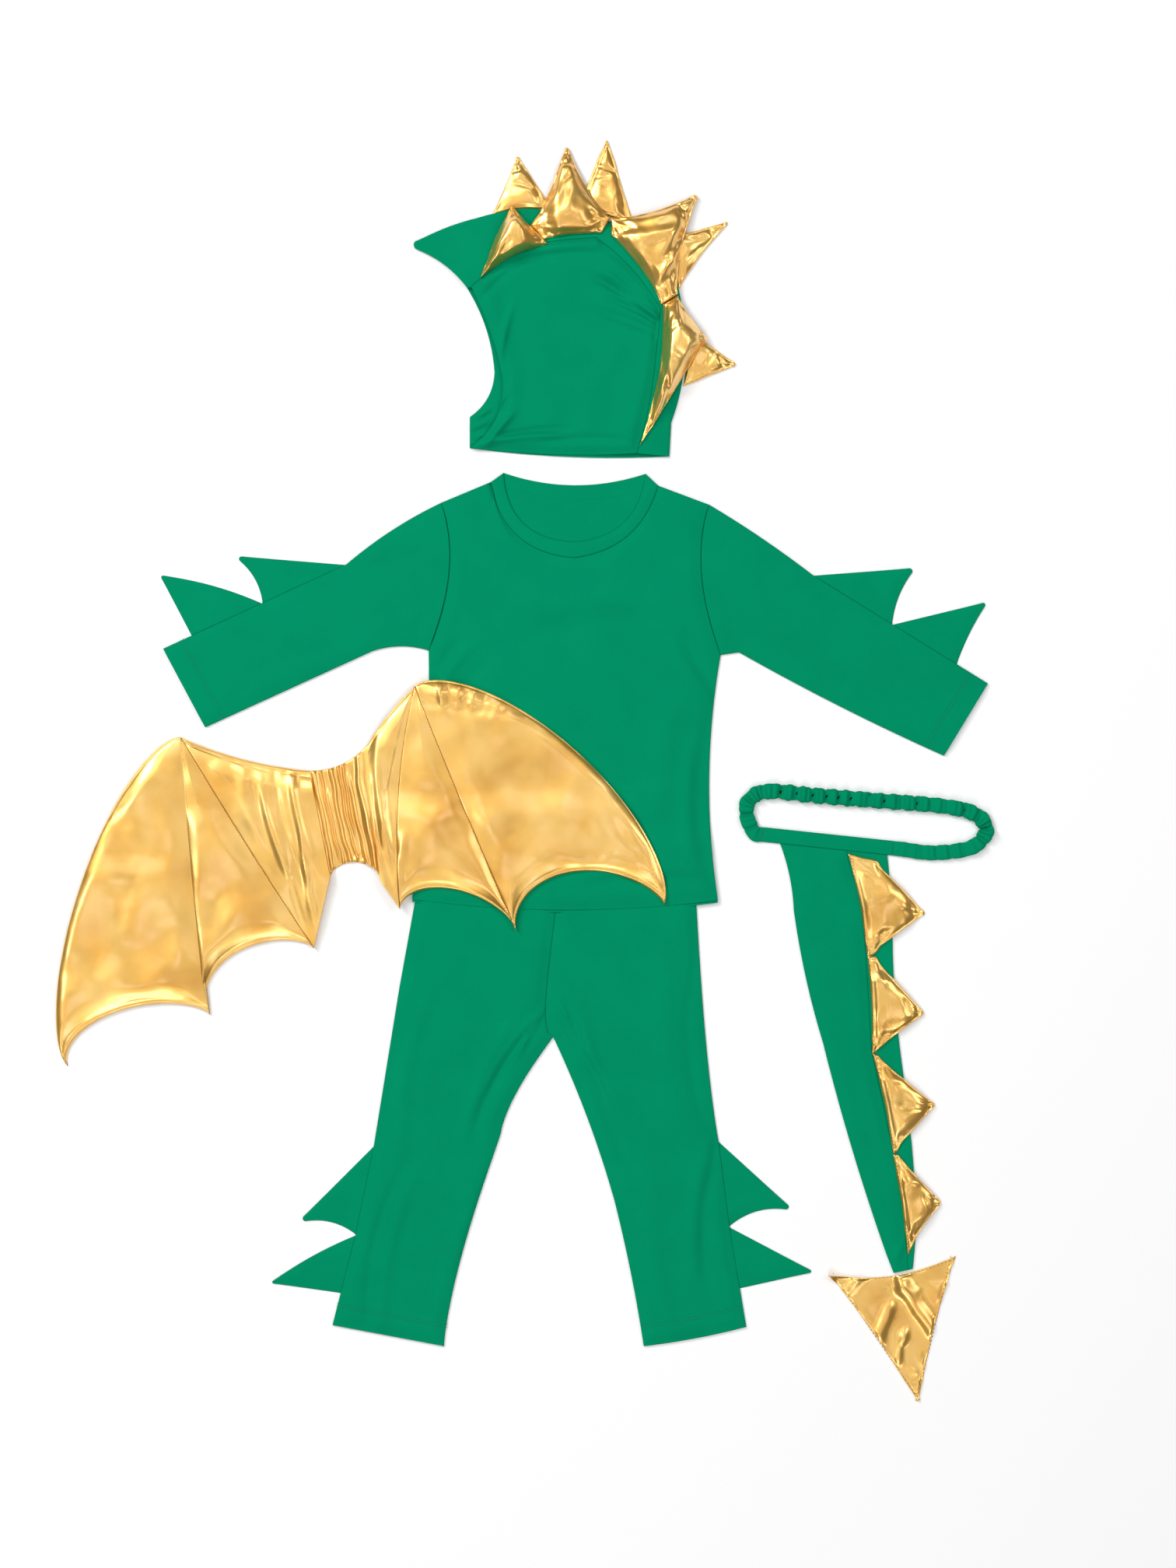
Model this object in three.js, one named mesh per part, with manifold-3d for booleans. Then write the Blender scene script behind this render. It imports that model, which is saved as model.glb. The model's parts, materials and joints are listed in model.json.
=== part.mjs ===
// A child's dragon costume laid out flat and seen from above, in millimetres: a long-sleeved top,
// trousers, a pair of gathered wings, a hood lying on its side, and a tail on an elastic belt.
// +Z is up, +Y runs toward the hood and +X to the right of the layout. The origin is at the middle
// of the layout, on the surface that the costume lies on. Left and right are those of the layout.
import * as THREE from "three";
import Module from "manifold-3d";

const wasm = await Module();
wasm.setup();

// Driving dimensions
const CLOTH = 1.2; // wall of the jersey and of the foil cloth
const SEAM = 0.3; // gap between pieces that are sewn or lie together
const TWO_LAYERS = 2 * CLOTH + SEAM; // a back and a front lying on each other
const HOOD_LATTICE = 15; // spacing of the lines on which the rounded hood takes its heights
const EDGE_ERROR = 0.6; // how far a sampled edge strays from its curve
const BAND_WALL = 1.8; // the neckband is bound double
const BELT_WIDTH = 16; // cased elastic
const TAB_HEIGHT = 3; // the belt's plain stretch
const RUCHE_HEIGHT = 6.5; // the belt's gathered stretch
const RUCHE_WAVE = 2.4; // how far a gather stands up or sinks
const RUCHE_SPREAD = 0.5; // how far it widens or narrows the belt on each side
const PADDING = 4.5; // rise of the padded wings over their edge
const FIN_RISE = 1; // rise of the soft cloth fins over their edge
const NEAR_SPIKE_RISE = 13; // stuffed spikes of the hood's upper side
const RAISED_SPIKE_RISE = 20; // the two of them that stand up from the layout
const FAR_SPIKE_RISE = 5.5; // the lower side's spikes, pressed flat
const TAIL_SPIKE_RISE = 4;
const ARROW_RISE = 6;
const CREST = 3.4; // how far the hood's upper side rises to its seam

const GREEN = { name: "green_jersey", color: 0x018c66, roughness: 0.9, metalness: 0 };
const GOLD = { name: "gold_foil_cloth", color: 0xedbf62, roughness: 0.35, metalness: 0.55 };

const costume = new THREE.Group();
costume.name = "dragon_costume";

function addPiece(name, solid, finish) {
  const { numProp, vertProperties, triVerts } = solid.getMesh();
  const geometry = new THREE.BufferGeometry();
  geometry.setAttribute("position", new THREE.BufferAttribute(vertProperties, numProp));
  geometry.setIndex(new THREE.BufferAttribute(triVerts, 1));
  geometry.computeVertexNormals();
  const mesh = new THREE.Mesh(geometry, new THREE.MeshStandardMaterial(finish));
  mesh.name = name;
  costume.add(mesh);
}

// Closed solid from loose corners and triangles: corners that coincide become one, and
// triangles that this closes up are left out.
function solidOf(corners, triangles) {
  const places = new Map();
  const vertices = [];
  const merged = corners.map(({ x, y, z }) => {
    const key = [x, y, z].map((value) => Math.round(value * 1e4)).join();
    if (!places.has(key)) {
      places.set(key, places.size);
      vertices.push(x, y, z);
    }
    return places.get(key);
  });
  const faces = triangles
    .map((triangle) => triangle.map((corner) => merged[corner]))
    .filter(([a, b, c]) => a !== b && b !== c && c !== a);
  const mesh = new wasm.Mesh({
    numProp: 3,
    vertProperties: Float32Array.from(vertices),
    triVerts: Uint32Array.from(faces.flat()),
  });
  return new wasm.Manifold(mesh);
}

const point = (x, y) => new THREE.Vector2(x, y);

// A stretch of edge as a function of 0 to 1: the line from a to b, bowed to the right of its
// travel and furthest out at the share `lean` of its length. At a fullness of 1 it is a parabola
// when it leans to neither end, and below 1 it is rounder at its ends.
const bowed = (a, b, bow = 0, lean = 0.5, fullness = 1) => (t) => {
  const length = Math.hypot(b.x - a.x, b.y - a.y) || 1;
  const rising = (t / lean) ** (2 * lean);
  const falling = ((1 - t) / (1 - lean)) ** (2 * (1 - lean));
  const swell = (bow * (rising * falling) ** fullness) / length;
  return new THREE.Vector2(
    THREE.MathUtils.lerp(a.x, b.x, t) + swell * (b.y - a.y),
    THREE.MathUtils.lerp(a.y, b.y, t) - swell * (b.x - a.x),
  );
};

// Several stretches end to end, each with the same share of 0 to 1.
const chained = (...stretches) => (t) => {
  const which = Math.min(stretches.length - 1, Math.floor(t * stretches.length));
  return stretches[which](t * stretches.length - which);
};

// The corners of a piece, anticlockwise, as an outline: each row's edge runs to the next row.
function outline(rows) {
  return rows.flatMap((row, i) => {
    const edge = bowed(row, rows[(i + 1) % rows.length], row.bow, row.lean);
    const steps = Math.max(1, Math.ceil(Math.sqrt(Math.abs(row.bow ?? 0) / EDGE_ERROR)));
    return Array.from({ length: steps }, (_, step) => edge(step / steps));
  });
}

// An open run of rows, to be used in two pieces that share an edge; the last row only ends it.
const reversed = (rows) =>
  rows.toReversed().map((row, i, all) => {
    const before = all[i + 1] ?? {};
    return { ...row, bow: -(before.bow ?? 0), lean: 1 - (before.lean ?? 0.5) };
  });

// Moves each point of an anticlockwise outline inwards, square to the edges that meet there.
const SHARPEST = 0.35; // cosine of half the turn past which a corner moves no further
function inset(points, distance) {
  return points.map((point, i) => {
    const coming = point.clone().sub(points.at(i - 1)).normalize();
    const going = points[(i + 1) % points.length].clone().sub(point).normalize();
    const travel = coming.clone().add(going).normalize();
    const shift = distance / Math.max(SHARPEST, travel.dot(going));
    return new THREE.Vector2(point.x - travel.y * shift, point.y + travel.x * shift);
  });
}

const cutOut = (rows) => inset(outline(rows), SEAM / 2);

// Upright solid over an outline.
function prism(points, low, high) {
  const shape = new THREE.Shape(points);
  const geometry = new THREE.ExtrudeGeometry(shape, { depth: high - low, bevelEnabled: false });
  const position = geometry.getAttribute("position");
  const corners = Array.from({ length: position.count }, (_, i) =>
    new THREE.Vector3().fromBufferAttribute(position, i).setZ(position.getZ(i) + low),
  );
  const triangles = Array.from({ length: position.count / 3 }, (_, i) => [3 * i, 3 * i + 1, 3 * i + 2]);
  return solidOf(corners, triangles);
}

// A lying panel: the cloth between two height functions of x and y, over an outline. Heights are
// taken where lines across and along cross, and panels on each other share them, so that they
// stay parallel.
function panel(points, under, over, xLines, yLines) {
  const across = xLines.length - 1;
  const along = yLines.length - 1;
  const corners = [under, over].flatMap((height) =>
    yLines.flatMap((y) => xLines.map((x) => new THREE.Vector3(x, y, height(x, y)))),
  );
  const at = (i, j, layer) => (layer * (along + 1) + j) * (across + 1) + i;
  const triangles = [];
  const quad = (a, b, c, d) => triangles.push([a, b, c], [a, c, d]);
  for (let j = 0; j < along; j += 1)
    for (let i = 0; i < across; i += 1) {
      quad(at(i, j, 1), at(i + 1, j, 1), at(i + 1, j + 1, 1), at(i, j + 1, 1));
      triangles.push([at(i, j, 0), at(i + 1, j + 1, 0), at(i + 1, j, 0)]);
      triangles.push([at(i, j, 0), at(i, j + 1, 0), at(i + 1, j + 1, 0)]);
    }
  for (let i = 0; i < across; i += 1) {
    quad(at(i, 0, 0), at(i + 1, 0, 0), at(i + 1, 0, 1), at(i, 0, 1));
    quad(at(i + 1, along, 0), at(i, along, 0), at(i, along, 1), at(i + 1, along, 1));
  }
  for (let j = 0; j < along; j += 1) {
    quad(at(0, j + 1, 0), at(0, j, 0), at(0, j, 1), at(0, j + 1, 1));
    quad(at(across, j, 0), at(across, j + 1, 0), at(across, j + 1, 1), at(across, j, 1));
  }
  const heights = corners.map(({ z }) => z);
  const cut = prism(points, Math.min(...heights) - 1, Math.max(...heights) + 1);
  return solidOf(corners, triangles).intersect(cut);
}

const flatPanel = (rows, low, wall = CLOTH) => prism(cutOut(rows), low, low + wall);
const linesBetween = (first, last, spacing) =>
  Array.from({ length: Math.ceil((last - first) / spacing) + 1 }, (_, i) => first + i * spacing);

// A flattened tube open at two of its edges: the rows named in `mouths` start an open edge.
const REACH = 6; // how far the hollow runs out past a mouth
function tube(rows, mouths) {
  const hollowRows = rows.map((row) => ({ ...row }));
  rows.forEach((row, i) => {
    if (!mouths.includes(row.corner)) return;
    const next = rows[(i + 1) % rows.length];
    const length = Math.hypot(next.x - row.x, next.y - row.y);
    const out = { x: (next.y - row.y) / length, y: (row.x - next.x) / length };
    for (const moved of [hollowRows[i], hollowRows[(i + 1) % rows.length]]) {
      moved.x += out.x * REACH;
      moved.y += out.y * REACH;
    }
  });
  const hollow = inset(outline(hollowRows), 2 * CLOTH);
  const outside = prism(cutOut(rows), 0, TWO_LAYERS);
  return outside.subtract(prism(hollow, CLOTH, CLOTH + SEAM));
}

// A padded piece on a grid. Each of its fields lies between four edges, west and east running
// from south to north, and neighbouring fields share the sewn line between them. A field's
// surface rises from the cloth's thickness at the rim to its own crown. The underside is level at
// the height `under`, or follows it where that is a function of x and y. `rimShare` is how much
// of the crown stays at the rim.
function padded({ fields, columns, rows, under = 0, rise, rimShare = 0 }) {
  const points = [];
  const crowns = [];
  fields.forEach(({ west, east, south, north }, f) => {
    for (let i = f ? 1 : 0; i <= columns; i += 1) {
      const u = i / columns;
      const column = [];
      const crown = [];
      for (let j = 0; j <= rows; j += 1) {
        const v = j / rows;
        const sides = west(v).lerp(east(v), u);
        const ends = south(u).lerp(north(u), v);
        const low = south(0).lerp(south(1), u);
        const high = north(0).lerp(north(1), u);
        column.push(sides.add(ends).sub(low.lerp(high, v)));
        crown.push(rise(u, v, f));
      }
      points.push(column);
      crowns.push(crown);
    }
  });
  const last = points.length - 1;
  const rim = [];
  for (let i = 0; i < last; i += 1) rim.push([i, 0]);
  for (let j = 0; j < rows; j += 1) rim.push([last, j]);
  for (let i = last; i > 0; i -= 1) rim.push([i, rows]);
  for (let j = rows; j > 0; j -= 1) rim.push([0, j]);
  const loop = [];
  const rimPlace = rim.map(([i, j]) => {
    if (!loop.length || loop.at(-1).distanceTo(points[i][j]) > 1e-3) loop.push(points[i][j]);
    return loop.length - 1;
  });
  if (loop[0].distanceTo(loop.at(-1)) < 1e-3) loop.pop();
  const facing = THREE.ShapeUtils.area(loop) > 0 ? 1 : -1;
  const drawnIn = inset(loop, (facing * SEAM) / 2);
  rim.forEach(([i, j], k) => {
    points[i][j] = drawnIn[rimPlace[k] % drawnIn.length].clone();
    crowns[i][j] *= rimShare;
  });
  const level = typeof under === "number";
  const corners = [];
  const at = (i, j, layer) => 2 * (i * (rows + 1) + j) + layer;
  points.forEach((column, i) =>
    column.forEach(({ x, y }, j) => {
      const low = level ? under : under(x, y);
      corners.push(new THREE.Vector3(x, y, low));
      corners.push(new THREE.Vector3(x, y, low + CLOTH + crowns[i][j]));
    }),
  );
  const triangles = [];
  const face = (a, b, c) => triangles.push(facing > 0 ? [a, b, c] : [a, c, b]);
  for (let i = 0; i < last; i += 1)
    for (let j = 0; j < rows; j += 1) {
      face(at(i, j, 1), at(i + 1, j, 1), at(i + 1, j + 1, 1));
      face(at(i, j, 1), at(i + 1, j + 1, 1), at(i, j + 1, 1));
      if (level) continue;
      face(at(i, j, 0), at(i + 1, j + 1, 0), at(i + 1, j, 0));
      face(at(i, j, 0), at(i, j + 1, 0), at(i + 1, j + 1, 0));
    }
  if (level) {
    const rimCorners = drawnIn.map((_, place) => at(...rim[rimPlace.indexOf(place)], 0));
    for (const [a, b, c] of THREE.ShapeUtils.triangulateShape(drawnIn, []))
      triangles.push([rimCorners[a], rimCorners[c], rimCorners[b]]);
  }
  rim.forEach(([i, j], k) => {
    const [m, n] = rim[(k + 1) % rim.length];
    face(at(i, j, 0), at(m, n, 0), at(m, n, 1));
    face(at(i, j, 0), at(m, n, 1), at(i, j, 1));
  });
  return solidOf(corners, triangles);
}

// How a stuffed shape rises across its width and along its length.
const across = (u) => Math.sqrt(Math.max(0, 4 * u * (1 - u)));
const towardTip = (v) => Math.min(1, 6 * v) * Math.sqrt(Math.max(0, 1 - v));

// A spike, fin or point: its base between two corners, and a tip. Each side bows outwards by its
// own amount, and may pass a shoulder on its way.
const SPIKE_COLUMNS = 6;
const SPIKE_ROWS = 6;
function spike(row, height, under = 0) {
  const { start, end, tip, startBow = 0, endBow = 0, baseBow = 0 } = row;
  const side = (corner, shoulder, bow) =>
    shoulder ? chained(bowed(corner, shoulder), bowed(shoulder, tip, bow)) : bowed(corner, tip, bow);
  const field = {
    west: side(start, row.startShoulder, startBow),
    east: side(end, row.endShoulder, -endBow),
    south: row.base ?? bowed(start, end, baseBow),
    north: () => tip.clone(),
  };
  const rise = (u, v) => height * across(u) * towardTip(v);
  return padded({ fields: [field], columns: SPIKE_COLUMNS, rows: SPIKE_ROWS, under, rise });
}

// The trousers, whose waist lies under the top's hem
const WAIST = { left: -118, right: 184, top: -93, seam: -122 };
const CENTRE_SEAM = [
  { corner: "centre waist", x: 34, y: WAIST.seam, bow: 9, lean: 0.8 },
  { corner: "crotch", x: 29, y: -291 },
];
const LEFT_LEG = [
  { corner: "waist", x: WAIST.left, y: WAIST.seam },
  { corner: "hip", x: -139, y: -238 },
  { corner: "first fin", x: -167, y: -411 },
  { corner: "second fin", x: -187, y: -508 },
  { corner: "outer hem", x: -212, y: -606 },
  { corner: "inner hem", x: -90, y: -629, bow: -7, lean: 0.4 },
  { corner: "thigh", x: -28, y: -396, bow: -6, lean: 0.4 },
  ...reversed(CENTRE_SEAM),
];
const RIGHT_LEG = [
  ...CENTRE_SEAM.slice(0, 1),
  { corner: "crotch", x: 29, y: -291, bow: -4 },
  { corner: "knee", x: 96, y: -470, bow: -2 },
  { corner: "inner hem", x: 128, y: -629, bow: 2 },
  { corner: "outer hem", x: 240, y: -608 },
  { corner: "second fin", x: 222, y: -499 },
  { corner: "first fin", x: 210, y: -406, bow: -4, lean: 0.4 },
  { corner: "waist", x: WAIST.right, y: WAIST.seam },
];
const FRONT_LEVEL = CLOTH + SEAM;
for (const [side, rows] of Object.entries({ left: LEFT_LEG, right: RIGHT_LEG })) {
  addPiece(`leg_${side}_back`, flatPanel(rows, 0), GREEN);
  addPiece(`leg_${side}_front`, flatPanel(rows, FRONT_LEVEL), GREEN);
}
const WAISTBAND = [
  { corner: "left top", x: WAIST.left + 5, y: WAIST.top },
  { corner: "left seam", x: WAIST.left, y: WAIST.seam },
  { corner: "right seam", x: WAIST.right, y: WAIST.seam },
  { corner: "right top", x: WAIST.right - 5, y: WAIST.top },
];
addPiece("waistband", tube(WAISTBAND, ["left seam", "right top"]), GREEN);

// The top lies over the trousers' waist and slopes down to the surface above it.
const STEPPED = TWO_LAYERS + SEAM; // how far two layers lift what lies on them
const SLOPE = { start: WAIST.top + 4, length: 36, lines: 5 };
const lift = (y) => {
  const climb = THREE.MathUtils.smoothstep(y, SLOPE.start, SLOPE.start + SLOPE.length);
  return STEPPED * (1 - climb);
};
const TOP_REACH = { left: -150, right: 240, low: -180, high: 340 };
const topXLines = [TOP_REACH.left, TOP_REACH.right];
const topYLines = [
  TOP_REACH.low,
  ...linesBetween(SLOPE.start, SLOPE.start + SLOPE.length, SLOPE.length / SLOPE.lines),
  TOP_REACH.high,
];

const LEFT_ARMHOLE = [
  { corner: "left shoulder", x: -94, y: 292, bow: -15, lean: 0.45 },
  { corner: "left underarm", x: -107, y: 131 },
];
const RIGHT_ARMHOLE = [
  { corner: "right underarm", x: 212, y: 126, bow: -14, lean: 0.55 },
  { corner: "right shoulder", x: 200, y: 290 },
];
const NECK_RIGHT = { corner: "right neck", x: 144, y: 311 };
const NECK_LEFT = { corner: "left neck", x: -39, y: 315 };
const FRONT_NECKLINE = [
  { ...NECK_RIGHT, bow: -20 },
  { corner: "front neck", x: 52, y: 232, bow: -24 },
  NECK_LEFT,
];
const BACK_NECKLINE = [{ ...NECK_RIGHT, bow: -17 }, NECK_LEFT];
const bodyRows = (neckline, hemDrop) => [
  { corner: "left hem", x: -125, y: -141 - hemDrop, bow: 11 },
  { corner: "right hem", x: 209, y: -142 - hemDrop, bow: -11 },
  ...RIGHT_ARMHOLE.slice(0, 1),
  { ...RIGHT_ARMHOLE[1], bow: 0 },
  ...neckline.slice(0, -1),
  { ...NECK_LEFT, bow: 0 },
  ...LEFT_ARMHOLE.slice(0, 1),
  { ...LEFT_ARMHOLE[1], bow: -6 },
];
const BACK_HEM_DROP = 2.5; // the back hangs a little below the front
function topPanel(rows, low) {
  const under = (x, y) => lift(y) + low;
  const over = (x, y) => lift(y) + low + CLOTH;
  return panel(cutOut(rows), under, over, topXLines, topYLines);
}
addPiece("top_back", topPanel(bodyRows(BACK_NECKLINE, BACK_HEM_DROP), 0), GREEN);
addPiece("top_front", topPanel(bodyRows(FRONT_NECKLINE, 0), FRONT_LEVEL), GREEN);

// The bound neck edge, whose front hangs lower than its back
const BAND_RIGHT = { corner: "right band end", x: 130, y: 324 };
const BAND_LEFT = { corner: "left band end", x: -25, y: 325 };
const FRONT_BAND = [
  ...reversed(FRONT_NECKLINE).slice(0, -1),
  { ...NECK_RIGHT, bow: 0 },
  { ...BAND_RIGHT, bow: -22 },
  { corner: "front band", x: 52, y: 249.5, bow: -24 },
  { ...BAND_LEFT, bow: 0 },
];
const BACK_BAND = [
  ...reversed(BACK_NECKLINE).slice(0, -1),
  { ...NECK_RIGHT, bow: 0 },
  { ...BAND_RIGHT, bow: -13 },
  { ...BAND_LEFT, bow: 0 },
];
addPiece("neckband_back", flatPanel(BACK_BAND, 0), GREEN);
addPiece("neckband_front", flatPanel(FRONT_BAND, FRONT_LEVEL, BAND_WALL), GREEN);

// The sleeves are tubes pressed flat, open at the cuff and at the armhole.
const LEFT_SLEEVE = [
  { corner: "shoulder", x: -94, y: 292, bow: 4 },
  { corner: "first fin", x: -197, y: 225 },
  { corner: "cuff top", x: -397, y: 133 },
  { corner: "cuff bottom", x: -351, y: 47 },
  { corner: "under the arm", x: -169, y: 130, bow: -5 },
  { ...reversed(LEFT_ARMHOLE)[0], corner: "armhole" },
];
const RIGHT_SLEEVE = [
  { corner: "underarm", x: 212, y: 126 },
  { corner: "under the arm", x: 232, y: 129, bow: 3 },
  { corner: "cuff bottom", x: 456, y: 16 },
  { corner: "cuff top", x: 504, y: 95 },
  { corner: "first fin", x: 312, y: 214, bow: 2 },
  { ...reversed(RIGHT_ARMHOLE)[0], corner: "armhole" },
];
addPiece("sleeve_left", tube(LEFT_SLEEVE, ["cuff top", "armhole"]), GREEN);
addPiece("sleeve_right", tube(RIGHT_SLEEVE, ["cuff bottom", "armhole"]), GREEN);

// Fins of doubled cloth sewn into the outer edges of the sleeves and legs, two to each. A row gives where
// the fin starts and ends on that edge, its tip, and how far its two sides bow out.
const finRow = (name, start, tip, end, startBow, endBow) => ({ name, start, tip, end, startBow, endBow });
const FINS = [
  finRow("sleeve_left_fin_1", point(-198, 224.5), point(-316, 234), point(-288.5, 183), 0, -5),
  finRow("sleeve_left_fin_2", point(-289.5, 182.5), point(-401, 214), point(-366, 147.3), 4, 0),
  finRow("sleeve_right_fin_1", point(314, 212.8), point(423, 221), point(399.5, 159.8), 0, 4),
  finRow("sleeve_right_fin_2", point(400.5, 159.2), point(503, 184), point(470, 116.1), 0, 2),
  finRow("leg_left_fin_1", point(-167, -411), point(-247, -491), point(-186.8, -507), 0, -6),
  finRow("leg_left_fin_2", point(-187.2, -508.5), point(-281, -560), point(-203, -571), 3, 0),
  finRow("leg_right_fin_1", point(210, -406), point(289, -478), point(221.9, -498), 0, 7),
  finRow("leg_right_fin_2", point(222, -499.5), point(314, -548), point(233, -566), 0, 0),
];
for (const { name, ...fin } of FINS) addPiece(name, spike(fin, FIN_RISE), GREEN);

// The wings: two layers of foil cloth with a little filling, sewn down along lines that run from
// each wing's peak to the cusps of its scalloped edge. A pleated piece joins them at the neck.
const WING_COLUMNS = 8;
const WING_ROWS = 14;
const LEFT_WING = {
  peak: point(-377, 36),
  tip: point(-501, -323),
  cusp: point(-346, -267),
  innerCusp: point(-232, -194),
  lowJoint: point(-214, -116),
  highJoint: point(-237, 0),
};
const RIGHT_WING = {
  peak: point(-122, 92),
  tip: point(150, -147),
  cusp: point(-11, -175),
  innerCusp: point(-138, -151),
  lowJoint: point(-160, -119),
  highJoint: point(-174, 28),
};
// How far each edge and sewn line of a wing bows to the right of its travel: the first four run
// from the peak, and the scallops from the tip inwards.
const LEFT_BOWS = { arc: 50, sewn: 2, innerSewn: 2, top: 6, scallop: -37, innerScallop: -41, lean: 0.42 };
const RIGHT_BOWS = { arc: -63, sewn: 2, innerSewn: 10, top: 3, scallop: 52, innerScallop: 31, lean: 0.58 };
const ROUND = 0.6; // fullness of the arcs and scallops

function wing(corners, bows, under) {
  const { peak, tip, cusp, innerCusp, lowJoint, highJoint } = corners;
  const atPeak = () => peak.clone();
  const arc = bowed(peak, tip, bows.arc, 0.48, ROUND);
  const sewn = bowed(peak, cusp, bows.sewn);
  const innerSewn = bowed(peak, innerCusp, bows.innerSewn);
  const top = bowed(peak, highJoint, bows.top);
  const scallop = bowed(tip, cusp, bows.scallop, bows.lean, ROUND);
  const innerScallop = bowed(cusp, innerCusp, bows.innerScallop, bows.lean, ROUND);
  const joint = chained(bowed(innerCusp, lowJoint), bowed(lowJoint, highJoint));
  const fields = [
    { west: arc, east: sewn, south: atPeak, north: scallop },
    { west: sewn, east: innerSewn, south: atPeak, north: innerScallop },
    { west: innerSewn, east: top, south: atPeak, north: joint },
  ];
  const rise = (u, v) => PADDING * across(u) * across(v) ** 0.5;
  return padded({ fields, columns: WING_COLUMNS, rows: WING_ROWS, under, rise });
}
addPiece("wing_left", wing(LEFT_WING, LEFT_BOWS, 0), GOLD);

// The right wing climbs from the surface on to the top, and on over the hidden waist.
const CLIMB = { from: -186, to: -148 };
const EARLIER = 34; // it starts each slope this far ahead of what it lies on
function overTop(x, y) {
  const onTop = THREE.MathUtils.smoothstep(x, CLIMB.from, CLIMB.to);
  return onTop * (STEPPED + lift(y - EARLIER));
}
addPiece("wing_right", wing(RIGHT_WING, RIGHT_BOWS, overTop), GOLD);

const PLEATS = 9;
const PLEAT = { rise: 4.5, columns: 4, rimShare: 0.75, arch: -17, sag: 8 };
const gather = {
  west: bowed(LEFT_WING.lowJoint, LEFT_WING.highJoint),
  east: bowed(RIGHT_WING.lowJoint, RIGHT_WING.highJoint),
  south: bowed(LEFT_WING.lowJoint, RIGHT_WING.lowJoint, PLEAT.arch, 0.5, ROUND),
  north: bowed(LEFT_WING.highJoint, RIGHT_WING.highJoint, PLEAT.sag),
};
addPiece("wing_gather", padded({
  fields: [gather],
  columns: PLEATS * PLEAT.columns,
  rows: 6,
  under: overTop,
  rise: (u) => PLEAT.rise * Math.abs(Math.sin(PLEATS * Math.PI * u)),
  rimShare: PLEAT.rimShare,
}), GOLD);

// The tail hangs from the plain stretch of its belt.
const BELT_LEFT = { x: 258, y: -70 };
const BELT_RIGHT = { x: 400, y: -85 };
const TAB_SLOPE = (BELT_RIGHT.y - BELT_LEFT.y) / (BELT_RIGHT.x - BELT_LEFT.x);
const onTab = (x) => BELT_LEFT.y + TAB_SLOPE * (x - BELT_LEFT.x);
const tabEdge = (x, side) => onTab(x) + (side * BELT_WIDTH * Math.hypot(1, TAB_SLOPE)) / 2;
const tabCorner = (end, side) => {
  const reach = (side * BELT_WIDTH) / 2 / Math.hypot(1, TAB_SLOPE);
  return { x: end.x - reach * TAB_SLOPE, y: end.y + reach };
};
const TAB = [
  tabCorner(BELT_LEFT, -1),
  tabCorner(BELT_RIGHT, -1),
  tabCorner(BELT_RIGHT, 1),
  tabCorner(BELT_LEFT, 1),
];
addPiece("belt_tab", prism(cutOut(TAB), 0, TAB_HEIGHT), GREEN);

// The gathered rest of the belt: stations of its middle line, and how strongly it is gathered.
const BELT = [
  { x: BELT_RIGHT.x + SEAM, y: onTab(BELT_RIGHT.x + SEAM), ruche: 0 },
  { x: BELT_RIGHT.x + 10, y: onTab(BELT_RIGHT.x + 10), ruche: 0.2 },
  { x: 445, y: -90, ruche: 0.3 },
  { x: 486, y: -84, ruche: 0.5 },
  { x: 502, y: -66, ruche: 0.8 },
  { x: 490, y: -48, ruche: 0.8 },
  { x: 454, y: -39, ruche: 0.6 },
  { x: 395, y: -34, ruche: 1 },
  { x: 320, y: -28, ruche: 1 },
  { x: 264, y: -23, ruche: 1 },
  { x: 243, y: -33, ruche: 0.8 },
  { x: 241, y: -51, ruche: 0.5 },
  { x: BELT_LEFT.x - 9, y: onTab(BELT_LEFT.x - 9) + 0.7, ruche: 0.2 },
  { x: BELT_LEFT.x - 2 * SEAM, y: onTab(BELT_LEFT.x), ruche: 0 },
];
const RUCHES = 26;
const RUCHE_STEPS = 3;
const BELT_SECTION = [
  { side: -1, up: 0 },
  { side: 1, up: 0 },
  { side: 1, up: 0.5 },
  { side: 0.6, up: 0.95 },
  { side: -0.6, up: 0.95 },
  { side: -1, up: 0.5 },
];
function gatheredBelt() {
  const path = new THREE.SplineCurve(BELT.map(({ x, y }) => point(x, y)));
  const steps = RUCHES * RUCHE_STEPS;
  const corners = [];
  for (let k = 0; k <= steps; k += 1) {
    const t = k / steps;
    const place = path.getPoint(t);
    const travel = path.getTangent(t);
    const row = t * (BELT.length - 1);
    const before = BELT[Math.floor(row)];
    const after = BELT[Math.min(BELT.length - 1, Math.ceil(row))];
    const ruche = THREE.MathUtils.lerp(before.ruche, after.ruche, row % 1);
    const full = THREE.MathUtils.lerp(TAB_HEIGHT, RUCHE_HEIGHT, Math.min(1, 2 * ruche));
    const height = full + ruche * RUCHE_WAVE * Math.cos(2 * Math.PI * RUCHES * t);
    const half = BELT_WIDTH / 2 + RUCHE_SPREAD * ruche * Math.cos(2 * Math.PI * RUCHES * t);
    for (const { side, up } of BELT_SECTION) {
      const out = side * half;
      corners.push(new THREE.Vector3(place.x + travel.y * out, place.y - travel.x * out, up * height));
    }
  }
  const sides = BELT_SECTION.length;
  const triangles = [];
  for (let k = 0; k < steps; k += 1)
    for (let i = 0; i < sides; i += 1) {
      const here = k * sides + i;
      const next = k * sides + ((i + 1) % sides);
      triangles.push([here, here + sides, next + sides], [here, next + sides, next]);
    }
  for (let i = 1; i < sides - 1; i += 1) {
    const far = steps * sides;
    triangles.push([0, i, i + 1], [far, far + i + 1, far + i]);
  }
  return solidOf(corners, triangles);
}
addPiece("belt_elastic", gatheredBelt(), GREEN);

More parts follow.
